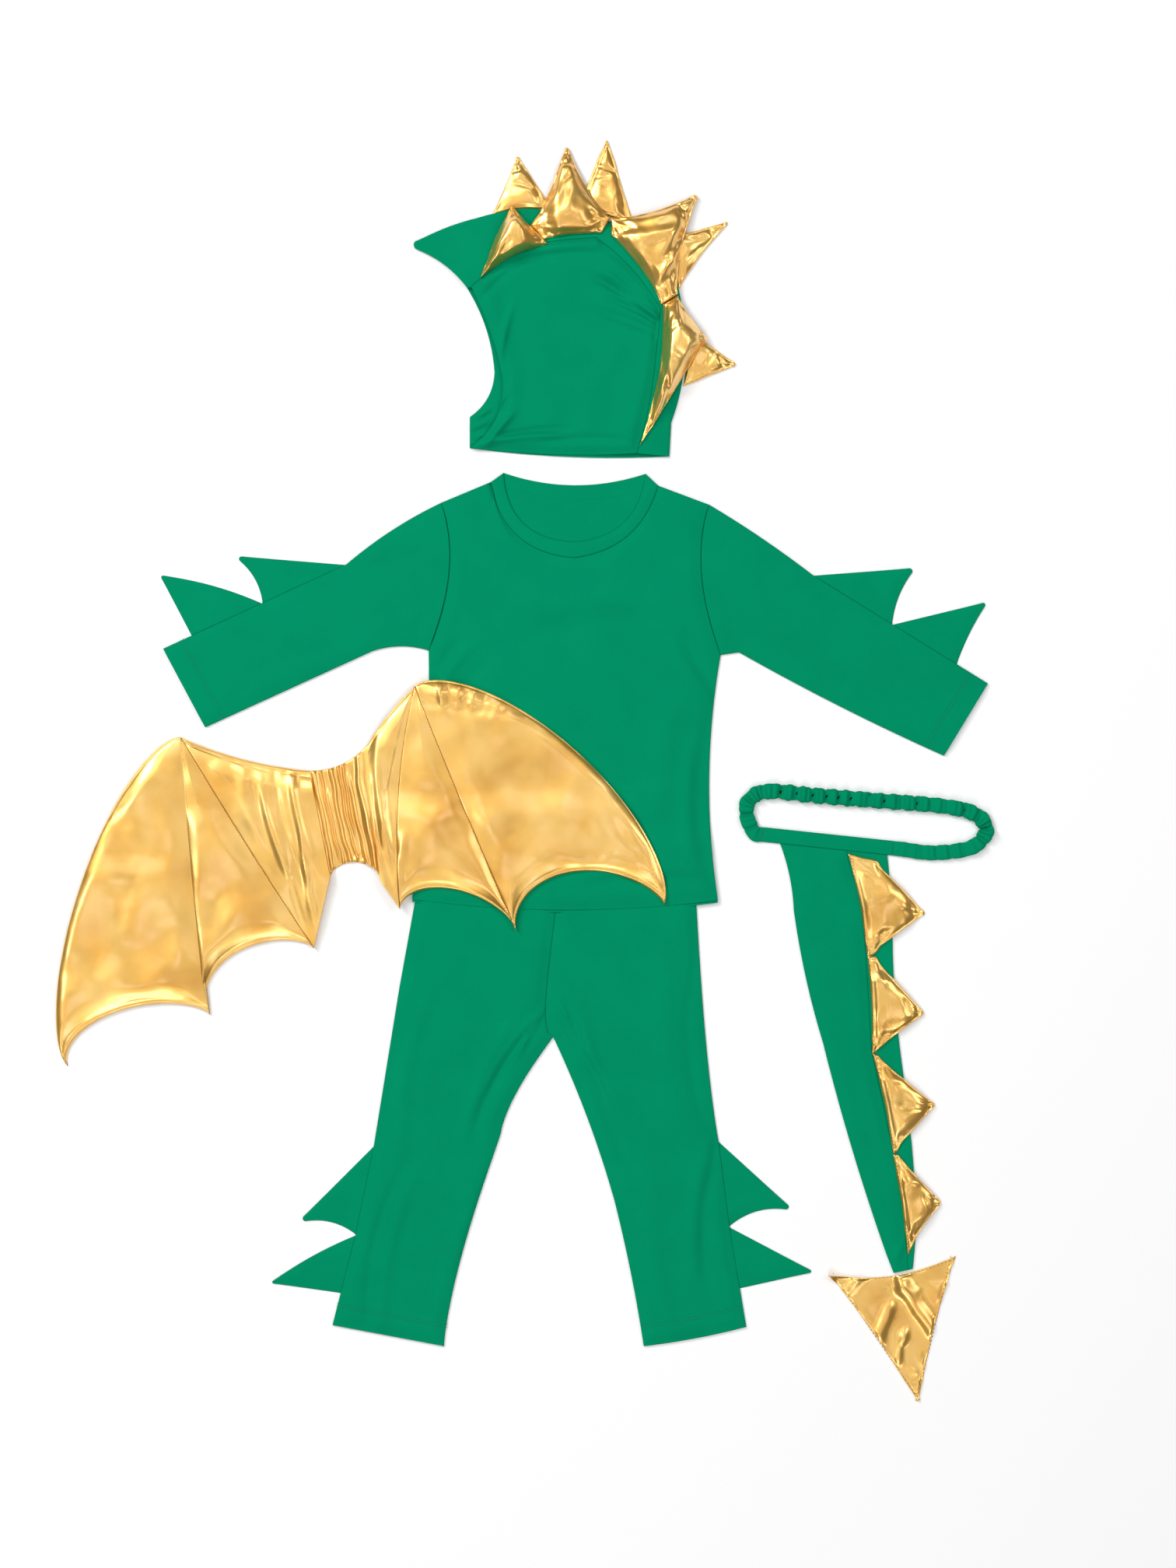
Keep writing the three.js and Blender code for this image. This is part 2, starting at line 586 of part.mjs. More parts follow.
// The tail: a back, and a front in two parts on either side of the seam that holds the spikes
const TAIL_SEAM = [
  { corner: "seam top", x: 350, y: tabEdge(350, -1), bow: 2.5 },
  { corner: "first bend", x: 367, y: -135 },
  { corner: "middle bend", x: 377, y: -304 },
  { corner: "low bend", x: 412, y: -468 },
  { corner: "seam end", x: 417, y: -545.8 },
];
const TAIL_LEFT_EDGE = [
  { corner: "top left", x: 277, y: tabEdge(277, -1), bow: -3 },
  { corner: "left hip", x: 292, y: -153, bow: 3 },
  { corner: "left bend", x: 324, y: -298, bow: 3 },
  { corner: "left ankle", x: 394, y: -531 },
  { corner: "end left", x: 401, y: -549 },
];
const TAIL_RIGHT_EDGE = [
  { corner: "end right", x: 422, y: -544.6 },
  { corner: "right ankle", x: 426, y: -500, bow: 2.5 },
  { corner: "right bend", x: 412, y: -335, bow: -2 },
  { corner: "right hip", x: 400, y: -199, bow: 1.5 },
  { corner: "top right", x: 394, y: tabEdge(394, -1) },
];
addPiece("tail_back", flatPanel([...TAIL_LEFT_EDGE, ...TAIL_RIGHT_EDGE], 0), GREEN);
addPiece("tail_front_left", flatPanel([...TAIL_LEFT_EDGE, ...reversed(TAIL_SEAM)], FRONT_LEVEL), GREEN);
addPiece("tail_front_right", flatPanel([...TAIL_SEAM, ...TAIL_RIGHT_EDGE], FRONT_LEVEL), GREEN);

// Four spikes lie over the tail's right side and reach out past it.
const tailSpikeRow = (start, startShoulder, tip, endShoulder, end) =>
  ({ start, startShoulder, tip, endShoulder, end });
const TAIL_SPIKES = [
  tailSpikeRow(point(351, -91), point(384, -98), point(436, -156), point(381, -200), point(372, -202)),
  tailSpikeRow(point(372, -203), point(382, -203), point(435, -265), point(382, -308), point(377, -309)),
  tailSpikeRow(point(378, -310), point(384, -311), point(447, -365), point(405, -416), point(400, -418)),
  tailSpikeRow(point(400, -419), point(406, -419), point(453, -472), point(430, -505), point(416, -529)),
];
const TAIL_DROOP = { from: 14, to: 34 }; // distance past the tail's edge over which they sink
const tailEdgePoints = TAIL_RIGHT_EDGE.map(({ x, y }) => point(x, y)).reverse();
function overTail(x, y) {
  const after = Math.max(1, tailEdgePoints.findIndex((corner) => corner.y <= y));
  const [high, low] = [tailEdgePoints[after - 1], tailEdgePoints[after]];
  const edge = THREE.MathUtils.mapLinear(y, low.y, high.y, low.x, high.x);
  return STEPPED * (1 - THREE.MathUtils.smoothstep(x - edge, TAIL_DROOP.from, TAIL_DROOP.to));
}
TAIL_SPIKES.forEach((row, i) =>
  addPiece(`tail_spike_${i + 1}`, spike(row, TAIL_SPIKE_RISE, overTail), GOLD),
);

const ARROW = {
  start: point(331, -549),
  end: point(467, -530),
  tip: point(428, -691),
  baseBow: 10.2,
  startBow: 1,
  endBow: 1,
};
addPiece("tail_arrow", spike(ARROW, ARROW_RISE), GOLD);

// The hood lies on its side: a lower side panel, a long gusset over its crown that also forms the
// beak, and an upper side panel whose seam with the gusset stands up in a soft ridge.
const NEAR_SEAM = [
  { corner: "nape", x: 121, y: 346, bow: 3 },
  { corner: "back of the head", x: 142, y: 457 },
  { corner: "crown corner", x: 147, y: 503, bow: 6 },
  { corner: "crown", x: 76, y: 582, bow: 9, lean: 0.6 },
  { corner: "forehead", x: -32, y: 553 },
  { corner: "brow", x: -60, y: 527 },
];
const OUTER_EDGE = [
  { corner: "outer nape", x: 156, y: 343 },
  { corner: "neck bend", x: 158, y: 380, bow: 4.5 },
  { corner: "outer back", x: 173, y: 470, bow: 12, lean: 0.6 },
  { corner: "outer corner", x: 137, y: 577, bow: 9, lean: 0.35 },
  { corner: "outer crown", x: 17, y: 612, bow: 4.5, lean: 0.4 },
  { corner: "outer brow", x: -60, y: 602 },
];
const UPPER_SIDE = [
  ...NEAR_SEAM.slice(0, -1),
  { ...NEAR_SEAM.at(-1), bow: -4 },
  { corner: "cheek", x: -26, y: 427, bow: -12 },
  { corner: "chin", x: -62, y: 352, bow: 4 },
];
const LOWER_SIDE = [
  { corner: "far brow", x: -65, y: 527, bow: -6 },
  { corner: "far cheek", x: -35, y: 435, bow: -7 },
  { corner: "far jaw", x: -62, y: 386 },
  { corner: "far chin", x: -62, y: 352, bow: 5 },
  ...OUTER_EDGE,
];
const GUSSET = [
  { corner: "beak", x: -124, y: 572, bow: -5 },
  { corner: "under the beak", x: -65, y: 527 },
  ...reversed(NEAR_SEAM),
  ...OUTER_EDGE.slice(0, -1),
  { ...OUTER_EDGE.at(-1), bow: 2 },
  { corner: "top of the beak", x: -120, y: 577 },
];
const HOOD_BOX = { left: -135, right: 195, low: 330, high: 630 };
const hoodXLines = linesBetween(HOOD_BOX.left, HOOD_BOX.right, HOOD_LATTICE);
const hoodYLines = linesBetween(HOOD_BOX.low, HOOD_BOX.high, HOOD_LATTICE);

// Shortest way from a place to an open run of rows.
function distanceTo(rows, x, y) {
  const place = new THREE.Vector3(x, y, 0);
  const nearest = new THREE.Vector3();
  const line = new THREE.Line3();
  const points = outline(rows).slice(0, -1).concat(point(rows.at(-1).x, rows.at(-1).y));
  return points.slice(1).reduce((least, after, i) => {
    line.set(new THREE.Vector3(points[i].x, points[i].y, 0), new THREE.Vector3(after.x, after.y, 0));
    line.closestPointToPoint(place, true, nearest);
    return Math.min(least, nearest.distanceTo(place));
  }, Infinity);
}
const RIDGE_WIDTH = 60; // the upper side rises to its seam over this width
const upperUnder = (x, y) =>
  FRONT_LEVEL + CREST * (1 - THREE.MathUtils.smoothstep(distanceTo(NEAR_SEAM, x, y), 0, RIDGE_WIDTH));
const upperOver = (x, y) => upperUnder(x, y) + CLOTH;
const gussetOver = (x, y) => {
  const fromSeam = distanceTo(NEAR_SEAM, x, y);
  const fromEdge = distanceTo(OUTER_EDGE, x, y);
  const share = fromEdge / (fromEdge + fromSeam);
  return TWO_LAYERS + CREST * Math.sin((share * Math.PI) / 2);
};
const BEAK_DROP = { from: -112, to: -84 }; // the beak sinks to the surface in front of the face
const gussetUnder = (x) => FRONT_LEVEL * THREE.MathUtils.smoothstep(x, BEAK_DROP.from, BEAK_DROP.to);
addPiece("hood_side_lower", flatPanel(LOWER_SIDE, 0), GREEN);
addPiece("hood_side_upper", panel(cutOut(UPPER_SIDE), upperUnder, upperOver, hoodXLines, hoodYLines), GREEN);
addPiece("hood_gusset", panel(cutOut(GUSSET), gussetUnder, gussetOver, hoodXLines, hoodYLines), GREEN);

// Stuffed spikes. The upper row stands in the raised seam and leans out over the gusset, and the
// lower row lies on the surface against the gusset's outer edge.
const UPPER_SPIKES = [
  {
    start: point(-50, 537),
    end: point(24, 574),
    tip: point(-16, 617),
    baseBow: -5,
    startBow: -3,
    height: RAISED_SPIKE_RISE,
  },
  {
    start: point(8, 595),
    end: point(89, 603),
    tip: point(44, 682),
    baseBow: 13,
    endBow: 3,
    height: NEAR_SPIKE_RISE,
  },
  {
    start: point(90, 601),
    end: point(163, 521),
    tip: point(187, 629),
    baseBow: 13,
    startBow: 3,
    endBow: 2,
    height: NEAR_SPIKE_RISE,
  },
  {
    start: point(148, 504),
    startShoulder: point(166, 511),
    end: point(124, 354),
    endShoulder: point(151, 394),
    tip: point(197, 471),
    baseBow: -4,
    height: RAISED_SPIKE_RISE,
  },
];
const SEAM_TOP = TWO_LAYERS + CREST + 2 * SEAM;
const HOOD_MIDDLE = point(50, 470);
const SPIKE_DROOP = { from: 165, to: 212, depth: 4 };
function overGusset(x, y) {
  const out = HOOD_MIDDLE.distanceTo(point(x, y));
  return SEAM_TOP - SPIKE_DROOP.depth * THREE.MathUtils.smoothstep(out, SPIKE_DROOP.from, SPIKE_DROOP.to);
}
UPPER_SPIKES.forEach(({ height, ...row }, i) =>
  addPiece(`hood_spike_upper_${i + 1}`, spike(row, height, overGusset), GOLD),
);

// Each lower spike's base follows the outer edge between two places on it.
const SPIKE_PARTING = 0.5;
const BASE_STEP = 5; // spacing of the places at which a base can start or end
const outerPoints = inset(outline(GUSSET), -SPIKE_PARTING).flatMap((corner, i, corners) => {
  const after = corners[(i + 1) % corners.length];
  const steps = Math.max(1, Math.round(corner.distanceTo(after) / BASE_STEP));
  return Array.from({ length: steps }, (_, k) => corner.clone().lerp(after, k / steps));
});
function followEdge(start, end) {
  const nearest = (place) =>
    outerPoints.reduce((best, corner, i) =>
      corner.distanceTo(place) < outerPoints[best].distanceTo(place) ? i : best, 0);
  const [first, last] = [nearest(start), nearest(end)];
  const step = first < last ? 1 : -1;
  const count = Math.abs(last - first);
  const run = Array.from({ length: count + 1 }, (_, i) => outerPoints[first + i * step]);
  const stretches = run.slice(1).map((after, i) => bowed(run[i], after));
  return { base: chained(...stretches), start: run[0], end: run.at(-1) };
}
const LOWER_SPIKES = [
  { from: point(-37, 607), to: point(30, 611), tip: point(-10, 673), endBow: -1 },
  { from: point(56, 608), to: point(117, 592), tip: point(88, 691), startBow: -3, endBow: -2 },
  { from: point(137, 577), to: point(166, 525), tip: point(222, 600), startBow: -1, endBow: 2 },
  { from: point(173, 485), to: point(171, 420), tip: point(231, 443), endBow: -1 },
];
LOWER_SPIKES.forEach(({ from, to, ...row }, i) =>
  addPiece(`hood_spike_lower_${i + 1}`, spike({ ...row, ...followEdge(from, to) }, FAR_SPIKE_RISE), GOLD),
);

// The origin goes to the middle of the layout.
const middle = new THREE.Box3().setFromObject(costume).getCenter(new THREE.Vector3());
costume.position.set(-middle.x, -middle.y, 0);

export default costume;
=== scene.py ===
# %% [markdown]
# # A child's dragon costume, laid out flat
#
# A green jersey top and trousers, a pair of foil wings joined by a pleated piece, a hood that lies
# on its side with two rows of stuffed spikes, and a tail on its belt. Everything lies on a white
# surface and is seen from straight above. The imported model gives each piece's place and size, and
# this script gives each piece its cloth: rolled folds, seams, stitches, puckers and creases.

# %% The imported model
import json

import bmesh
import bpy
import numpy as np
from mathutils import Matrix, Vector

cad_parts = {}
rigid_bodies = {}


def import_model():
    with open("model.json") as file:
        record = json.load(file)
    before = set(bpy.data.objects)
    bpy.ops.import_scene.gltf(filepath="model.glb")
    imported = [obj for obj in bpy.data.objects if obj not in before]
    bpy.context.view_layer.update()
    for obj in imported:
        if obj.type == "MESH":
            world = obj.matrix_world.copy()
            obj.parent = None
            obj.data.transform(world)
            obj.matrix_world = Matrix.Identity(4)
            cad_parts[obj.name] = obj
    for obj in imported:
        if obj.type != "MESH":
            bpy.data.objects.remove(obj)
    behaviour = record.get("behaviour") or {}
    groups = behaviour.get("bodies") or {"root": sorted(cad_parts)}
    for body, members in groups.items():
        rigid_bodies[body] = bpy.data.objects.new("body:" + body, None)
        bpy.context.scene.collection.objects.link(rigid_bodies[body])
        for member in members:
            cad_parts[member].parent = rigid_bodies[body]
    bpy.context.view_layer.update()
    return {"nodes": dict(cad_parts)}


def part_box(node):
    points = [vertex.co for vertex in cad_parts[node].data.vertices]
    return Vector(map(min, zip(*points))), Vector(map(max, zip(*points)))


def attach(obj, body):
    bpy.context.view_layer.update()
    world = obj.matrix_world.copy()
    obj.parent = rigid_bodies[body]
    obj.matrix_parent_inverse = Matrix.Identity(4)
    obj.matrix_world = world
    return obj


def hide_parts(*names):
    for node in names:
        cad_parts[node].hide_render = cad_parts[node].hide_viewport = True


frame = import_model()
print("the packed model has", len(frame["nodes"]), "nodes")

# %% [markdown]
# Lengths are in millimetres in the order that a cutter would use, and become metres when a mesh is
# made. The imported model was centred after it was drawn, so one shift, read from a hidden straight
# strip whose corners are known, brings the pattern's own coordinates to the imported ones.

# %% Units and the pattern's place
MM = 0.001
CLOTH = 1.2
GAP = 0.3
FRONT_LEVEL = CLOTH + GAP
TWO_LAYERS = 2 * CLOTH + GAP
STEPPED = TWO_LAYERS + GAP
WAIST = {"left": -118, "right": 184, "top": -93, "seam": -122}

waist_low, waist_high = (np.array(corner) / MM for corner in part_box("waistband"))
waist_middle = np.array([WAIST["left"] + WAIST["right"], WAIST["top"] + WAIST["seam"]]) / 2
SHIFT = (waist_low + waist_high)[:2] / 2 - waist_middle
print("the pattern moves by", SHIFT.round(3), "mm")

# %% [markdown]
# ## Edges and surfaces
#
# Every piece of cloth is a grid between four drawn edges, like a sheet stretched in a bent frame.
# An edge is a function of 0 to 1. The grid is then given a height above the surface, and a second
# grid under it closes the cloth into a thin body. This keeps the rows of the grid along the edges,
# where folds, seams and puckers run, which a flat outline filled with triangles wouldn't do.


# %% Edges
def bowed(end, x, y, bow=0.0, lean=0.5, fullness=1.0):
    """The line from the corner x, y to the corner end, pushed to the right of its travel by bow mm
    times a swell that is 0 at both ends and 1 at the share lean of its length."""
    first = np.array([x, y], float)
    along = np.array(end[:2], float) - first
    square = np.array([along[1], -along[0]]) / max(1e-9, np.hypot(*along))

    def side(t):
        t = np.asarray(t, float)
        rising = (t / lean) ** (2 * lean)
        falling = ((1 - t) / (1 - lean)) ** (2 * (1 - lean))
        swell = bow * (rising * falling) ** fullness
        return first + t[..., None] * along + swell[..., None] * square

    return side


def length_of(side):
    """The summed length of 60 short steps along an edge."""
    return np.linalg.norm(np.diff(side(np.linspace(0, 1, 61)), axis=0), axis=-1).sum()


def run(*corners):
    """The edge through corners, where each stretch has the share of 0 to 1 that its length is of
    the whole. A corner is x and y in mm, and then, where the stretch that leaves it isn't straight,
    its bow, lean and fullness. The joins are the shares where two stretches meet."""
    stretches = [bowed(b, *a) for a, b in zip(corners, corners[1:])]
    lengths = np.array([length_of(stretch) for stretch in stretches])
    ends = np.cumsum(lengths) / lengths.sum()
    starts = ends - lengths / lengths.sum()

    def side(t):
        t = np.asarray(t, float)
        which = np.clip(np.searchsorted(ends, t), 0, len(stretches) - 1)
        share = np.clip((t - starts[which]) / (ends[which] - starts[which]), 0, 1)
        options = np.stack([stretch(share) for stretch in stretches])
        return np.take_along_axis(options, which[None, ..., None], axis=0)[0]

    side.joins = list(ends[:-1])
    return side


def back(side):
    """The same edge, travelled the other way."""

    def other(t):
        return side(1 - np.asarray(t, float))

    other.joins = [1 - join for join in side.joins]
    return other


# %% [markdown]
# The grid's lines lie close together within a few millimetres of an edge, where the cloth rolls
# over, and further apart in the middle. A line also runs to each corner on the edge, so that no
# corner is cut off.

# %% Grids
PANEL_STEP = 5.0
ROLL_LINES = np.array([0, 0.3, 0.8, 1.6, 2.8, 4.5])


def shares(size, step, *sides):
    """Places of grid lines across a width of size mm: ROLL_LINES from each end, even ones about
    step mm apart between them, and the nearest moved to each join of the sides."""
    rolls = ROLL_LINES[ROLL_LINES < size / 3] / size
    middle = np.linspace(rolls[-1], 1 - rolls[-1], max(3, round(size / step)))
    places = np.concatenate([rolls, middle[1:-1], 1 - rolls[::-1]])
    for join in sorted(join for side in sides for join in side.joins):
        inner = places[1:-1]
        inner[np.abs(inner - join).argmin()] = join
    return places


def grid(west=None, east=None, south=None, north=None, step=PANEL_STEP):
    """Points between four edges: the two straight blends of opposite edges, added, less the blend
    of the four corners. West and east run from south to north, south and north from west to east,
    and an edge that is left out is the straight line between its neighbours' ends."""
    south = south or run(west(0.0), east(0.0))
    north = north or run(west(1.0), east(1.0))
    west = west or run(south(0.0), north(0.0))
    east = east or run(south(1.0), north(1.0))
    width = (length_of(south) + length_of(north)) / 2
    height = (length_of(west) + length_of(east)) / 2
    u = shares(max(width, 12), step, south, north)
    v = shares(height, step, west, east)
    sides = west(v)[:, None] * (1 - u)[None, :, None] + east(v)[:, None] * u[None, :, None]
    ends = south(u)[None] * (1 - v)[:, None, None] + north(u)[None] * v[:, None, None]
    low = south(0.0) * (1 - u)[:, None] + south(1.0) * u[:, None]
    high = north(0.0) * (1 - u)[:, None] + north(1.0) * u[:, None]
    corners = low[None] * (1 - v)[:, None, None] + high[None] * v[:, None, None]
    return sides + ends - corners


def from_sides(points):
    """How far each grid point lies from the west, east, south and north edge, as the summed length
    of the steps along its grid line, in mm."""
    steps = np.linalg.norm(np.diff(points, axis=1), axis=-1)
    west = np.pad(np.cumsum(steps, axis=1), ((0, 0), (1, 0)))
    steps = np.linalg.norm(np.diff(points, axis=0), axis=-1)
    south = np.pad(np.cumsum(steps, axis=0), ((1, 0), (0, 0)))
    return {"west": west, "east": west[:, -1:] - west, "south": south, "north": south[-1:] - south}


# %% Heights
FOLD_BEND = 0.0015


def smooth(value, low, high):
    """0 below low, 1 above high, and an even climb between."""
    t = np.clip((value - low) / (high - low), 0, 1)
    return t * t * (3 - 2 * t)


def rolled(distance, radius):
    """The height of a quarter circle: 0 at its edge, and 1 from the radius on."""
    t = 1 - np.clip(distance / radius, 0, 1)
    return np.sqrt(np.maximum(0, 1 - t * t))


def cloud(x, y, size, seed):
    """Soft seeded noise from 0 to 1: random values on a square lattice, size mm apart, blended
    evenly between the four around each point."""
    table = np.random.RandomState(seed).rand(64, 64)
    gx, gy = x / size + 31.7, y / size + 17.3
    i, j = np.floor(gx).astype(int), np.floor(gy).astype(int)
    fx, fy = gx - i, gy - j
    fx, fy = fx * fx * (3 - 2 * fx), fy * fy * (3 - 2 * fy)
    low = table[i % 64, j % 64] * (1 - fx) + table[(i + 1) % 64, j % 64] * fx
    high = table[i % 64, (j + 1) % 64] * (1 - fx) + table[(i + 1) % 64, (j + 1) % 64] * fx
    return low * (1 - fy) + high * fy


def swells(points, rows, seed):
    """Soft noise of several sizes, added: rows are (height, size), each with the next seed."""
    x, y = points[..., 0], points[..., 1]
    return sum(height * cloud(x, y, size, seed + k) for k, (height, size) in enumerate(rows))


def bell(value, middle, width):
    """1 at the middle, and falling off to both sides over the width."""
    return np.exp(-(((value - middle) / width) ** 2))


def creases(points, rows):
    """Folds given one by one. Each is a hump or trough whose height falls off as a bell across it
    and along it: x and y of its middle, its heading in degrees, its length, width and depth."""
    height = np.zeros(points.shape[:-1])
    for x, y, heading, length, width, depth in rows:
        turn = np.radians(heading)
        away = points - np.array([x, y])
        along = away[..., 0] * np.cos(turn) + away[..., 1] * np.sin(turn)
        across = away[..., 1] * np.cos(turn) - away[..., 0] * np.sin(turn)
        across = across + along**2 * FOLD_BEND
        height += depth * np.exp(-((2 * along / length) ** 4) - (across / width) ** 2)
    return height


# %% [markdown]
# ## From a grid to a piece of cloth
#
# The upper grid, the lower grid and a strip round their rims make one closed body. Grids that run
# together into a point, as at the tip of a spike, are merged there. Each finished piece takes its
# cloth, rides on the layout's one body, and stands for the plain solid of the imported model.


# %% Meshes
def linked(name, data):
    """A new object of the scene that holds some data."""
    made = bpy.data.objects.new(name, data)
    bpy.context.scene.collection.objects.link(made)
    return made


def quads_of(rows, columns):
    """The four corner numbers of each cell of a grid, anticlockwise as seen from above."""
    first = (np.arange(rows - 1)[:, None] * columns + np.arange(columns - 1)).ravel()
    return np.stack([first, first + 1, first + columns + 1, first + columns], axis=1)


def rim_of(rows, columns):
    """The numbers of the rim's points, anticlockwise."""
    numbers = np.arange(rows * columns).reshape(rows, columns)
    return np.concatenate(
        [numbers[0, :-1], numbers[:-1, -1], numbers[-1, :0:-1], numbers[:0:-1, 0]]
    )


def mesh_object(name, vertices, faces, material):
    """An object at the origin with its place in its mesh, in metres, and its doubles merged."""
    mesh = bpy.data.meshes.new(name)
    placed = np.array(vertices, float)
    placed[:, :2] += SHIFT
    mesh.from_pydata((placed * MM).tolist(), [], np.asarray(faces).tolist())
    merged = bmesh.new()
    merged.from_mesh(mesh)
    bmesh.ops.remove_doubles(merged, verts=merged.verts, dist=0.02 * MM)
    bmesh.ops.recalc_face_normals(merged, faces=merged.faces)
    merged.to_mesh(mesh)
    merged.free()
    mesh.shade_smooth()
    mesh.materials.append(material)
    made = linked(name, mesh)
    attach(made, "root")
    return made


def closed(name, points, over, under, material):
    """The body between two heights over a grid: both grids, and a strip from rim to rim."""
    rows, columns = over.shape
    upper = np.concatenate([points, over[..., None]], axis=-1).reshape(-1, 3)
    lower = np.concatenate([points, under[..., None]], axis=-1).reshape(-1, 3)
    quads = quads_of(rows, columns)
    rim = rim_of(rows, columns)
    after = np.roll(rim, -1)
    below = rows * columns
    strip = np.stack([rim, rim + below, after + below, after], axis=1)
    faces = np.concatenate([quads, quads[:, ::-1] + below, strip])
    return mesh_object(name, np.concatenate([upper, lower]), faces, material)


def area_of(points):
    """The area of a flat grid in square metres: half the cross product of each cell's diagonals."""
    one = points[1:, 1:] - points[:-1, :-1]
    two = points[1:, :-1] - points[:-1, 1:]
    return np.abs(one[..., 0] * two[..., 1] - one[..., 1] * two[..., 0]).sum() / 2 * MM * MM


# %% [markdown]
# ## The two cloths
#
# The jersey is a dull, even green knit: almost no gloss, a little pale fuzz where it turns away,
# a faint mottle and a fine knitted grain. The foil cloth is a knit with a gold film: a metal that
# is rougher in some places than others, with a thin clear coat and fine crackle. Both are worked
# out from the place on the object, so a grain has its true size on every piece.


# %% Material helpers
def linear(red, green, blue):
    """Screen values from 0 to 255 as the linear colour that the shader works in."""
    share = np.array([red, green, blue]) / 255
    value = np.where(share <= 0.04045, share / 12.92, ((share + 0.055) / 1.055) ** 2.4)
    return (*value.tolist(), 1.0)


def new_material(name, **settings):
    """A material with one Principled shader, whose sockets are set by name."""
    material = bpy.data.materials.new(name)
    material.use_nodes = True
    shader = material.node_tree.nodes["Principled BSDF"]
    for socket, value in settings.items():
        shader.inputs[socket.replace("_", " ")].default_value = value
    return material, material.node_tree, shader


def shader_node(tree, kind, source=None, into=None, **settings):
    """A shader node: its sockets are set by name, and a source is linked into one of them."""
    made = tree.nodes.new(f"ShaderNode{kind}")
    for socket, value in settings.items():
        made.inputs[socket.replace("_", " ")].default_value = value
    if source:
        tree.links.new(source, made.inputs[into])
    return made


def noise(tree, scale, detail, stretch=(1, 1, 1), distortion=0.0):
    """Noise on the object's own coordinates, scale cells to the metre."""
    place = shader_node(tree, "TexCoord").outputs["Object"]
    turned = shader_node(tree, "Mapping", place, "Vector", Scale=stretch).outputs["Vector"]
    settings = {"Scale": scale, "Detail": detail, "Distortion": distortion}
    return shader_node(tree, "TexNoise", turned, "Vector", **settings).outputs["Fac"]


def ramp(tree, source, *stops):
    """A colour for each value: stops are (place, colour)."""
    made = shader_node(tree, "ValToRGB", source, "Fac")
    while len(made.color_ramp.elements) < len(stops):
        made.color_ramp.elements.new(0.5)
    for element, (place, colour) in zip(made.color_ramp.elements, stops):
        element.position = place
        element.color = colour
    return made.outputs["Color"]


def spread(tree, source, low, high):
    """Noise, which stays near its middle, spread over the range from low to high."""
    ends = {"From Min": 0.3, "From Max": 0.7, "To Min": low, "To Max": high}
    return shader_node(tree, "MapRange", source, "Value", **ends).outputs["Result"]


def bump(tree, shader, *layers):
    """Relief under the shader: layers are (noise, depth in mm), each on top of the last."""
    last = None
    for source, depth in layers:
        made = shader_node(tree, "Bump", source, "Height", Distance=depth * MM)
        if last:
            tree.links.new(last, made.inputs["Normal"])
        last = made.outputs["Normal"]
    tree.links.new(last, shader.inputs["Normal"])


# %% Green jersey
GREEN_LIGHT = linear(0, 138, 97)
GREEN_DEEP = linear(0, 135, 95)
GREEN_FUZZ = linear(90, 225, 180)
green_jersey, tree, shader = new_material(
    "green_jersey", Roughness=0.92, Specular_IOR_Level=0.03, Sheen_Weight=0.1, Sheen_Roughness=0.4,
    Sheen_Tint=GREEN_FUZZ,
)
mottle = ramp(tree, noise(tree, 24, detail=4), (0.35, GREEN_DEEP), (0.65, GREEN_LIGHT))
tree.links.new(mottle, shader.inputs["Base Color"])
wales = noise(tree, 900, detail=1, stretch=(1.0, 0.35, 1.0))
fuzz = noise(tree, 260, detail=3)
bump(tree, shader, (wales, 0.12), (fuzz, 0.1))
print("made", green_jersey.name)

# %% Gold foil cloth
GOLD_PALE = linear(250, 204, 112)
GOLD_WARM = linear(242, 189, 90)
GOLD_DEEP = linear(230, 169, 68)


def foil(name, gloss, swell_depth, grain_depth):
    """Gold film on a knit: three golds in slow drifts, uneven gloss, soft swells and a fine grain
    where the knit shows through the film."""
    material, tree, shader = new_material(
        name, Metallic=0.86, Coat_Weight=1.0, Coat_IOR=1.65, Coat_Roughness=0.2,
        Specular_IOR_Level=0.6,
    )
    drift = noise(tree, 16, detail=3, distortion=0.3)
    colour = ramp(tree, drift, (0.3, GOLD_DEEP), (0.5, GOLD_WARM), (0.7, GOLD_PALE))
    tree.links.new(colour, shader.inputs["Base Color"])
    dull = spread(tree, noise(tree, 34, detail=2), gloss, gloss + 0.12)
    tree.links.new(dull, shader.inputs["Roughness"])
    soft = noise(tree, 48, detail=1, distortion=0.4)
    fine = noise(tree, 520, detail=2)
    bump(tree, shader, (soft, swell_depth), (fine, grain_depth))
    return material


gold_foil = foil("gold_foil_cloth", 0.29, 0.35, 0.01)
crumpled_foil = foil("gold_foil_cloth_stuffed", 0.27, 0.3, 0.008)
print("made", gold_foil.name, "and", crumpled_foil.name)


# %% Threads
def thread(name, colour):
    """Twisted thread: one colour that varies a little along it, with a soft gloss."""
    material, tree, shader = new_material(name, Roughness=0.6, Specular_IOR_Level=0.3)
    dark = tuple(0.75 * value for value in colour[:3]) + (1.0,)
    shade = ramp(tree, noise(tree, 500, detail=2), (0.35, dark), (0.65, colour))
    tree.links.new(shade, shader.inputs["Base Color"])
    bump(tree, shader, (noise(tree, 3000, detail=1), 0.06))
    return material


green_thread = thread("green_thread", linear(2, 120, 88))
# The gold thread is painted dark brown: painted shade for the shadow in its stitch pits and along
# the foil's turned edges.
gold_thread_painted_shade = thread("gold_thread_painted_shade", linear(140, 102, 52))
print("made", green_thread.name, "and", gold_thread_painted_shade.name)

# %% [markdown]
# ## The camera
#
# The layout is photographed from straight above. The camera hangs four metres up, and its lens is
# worked out from the height of what it frames, so that a millimetre covers the same part of the
# picture as in the photo.

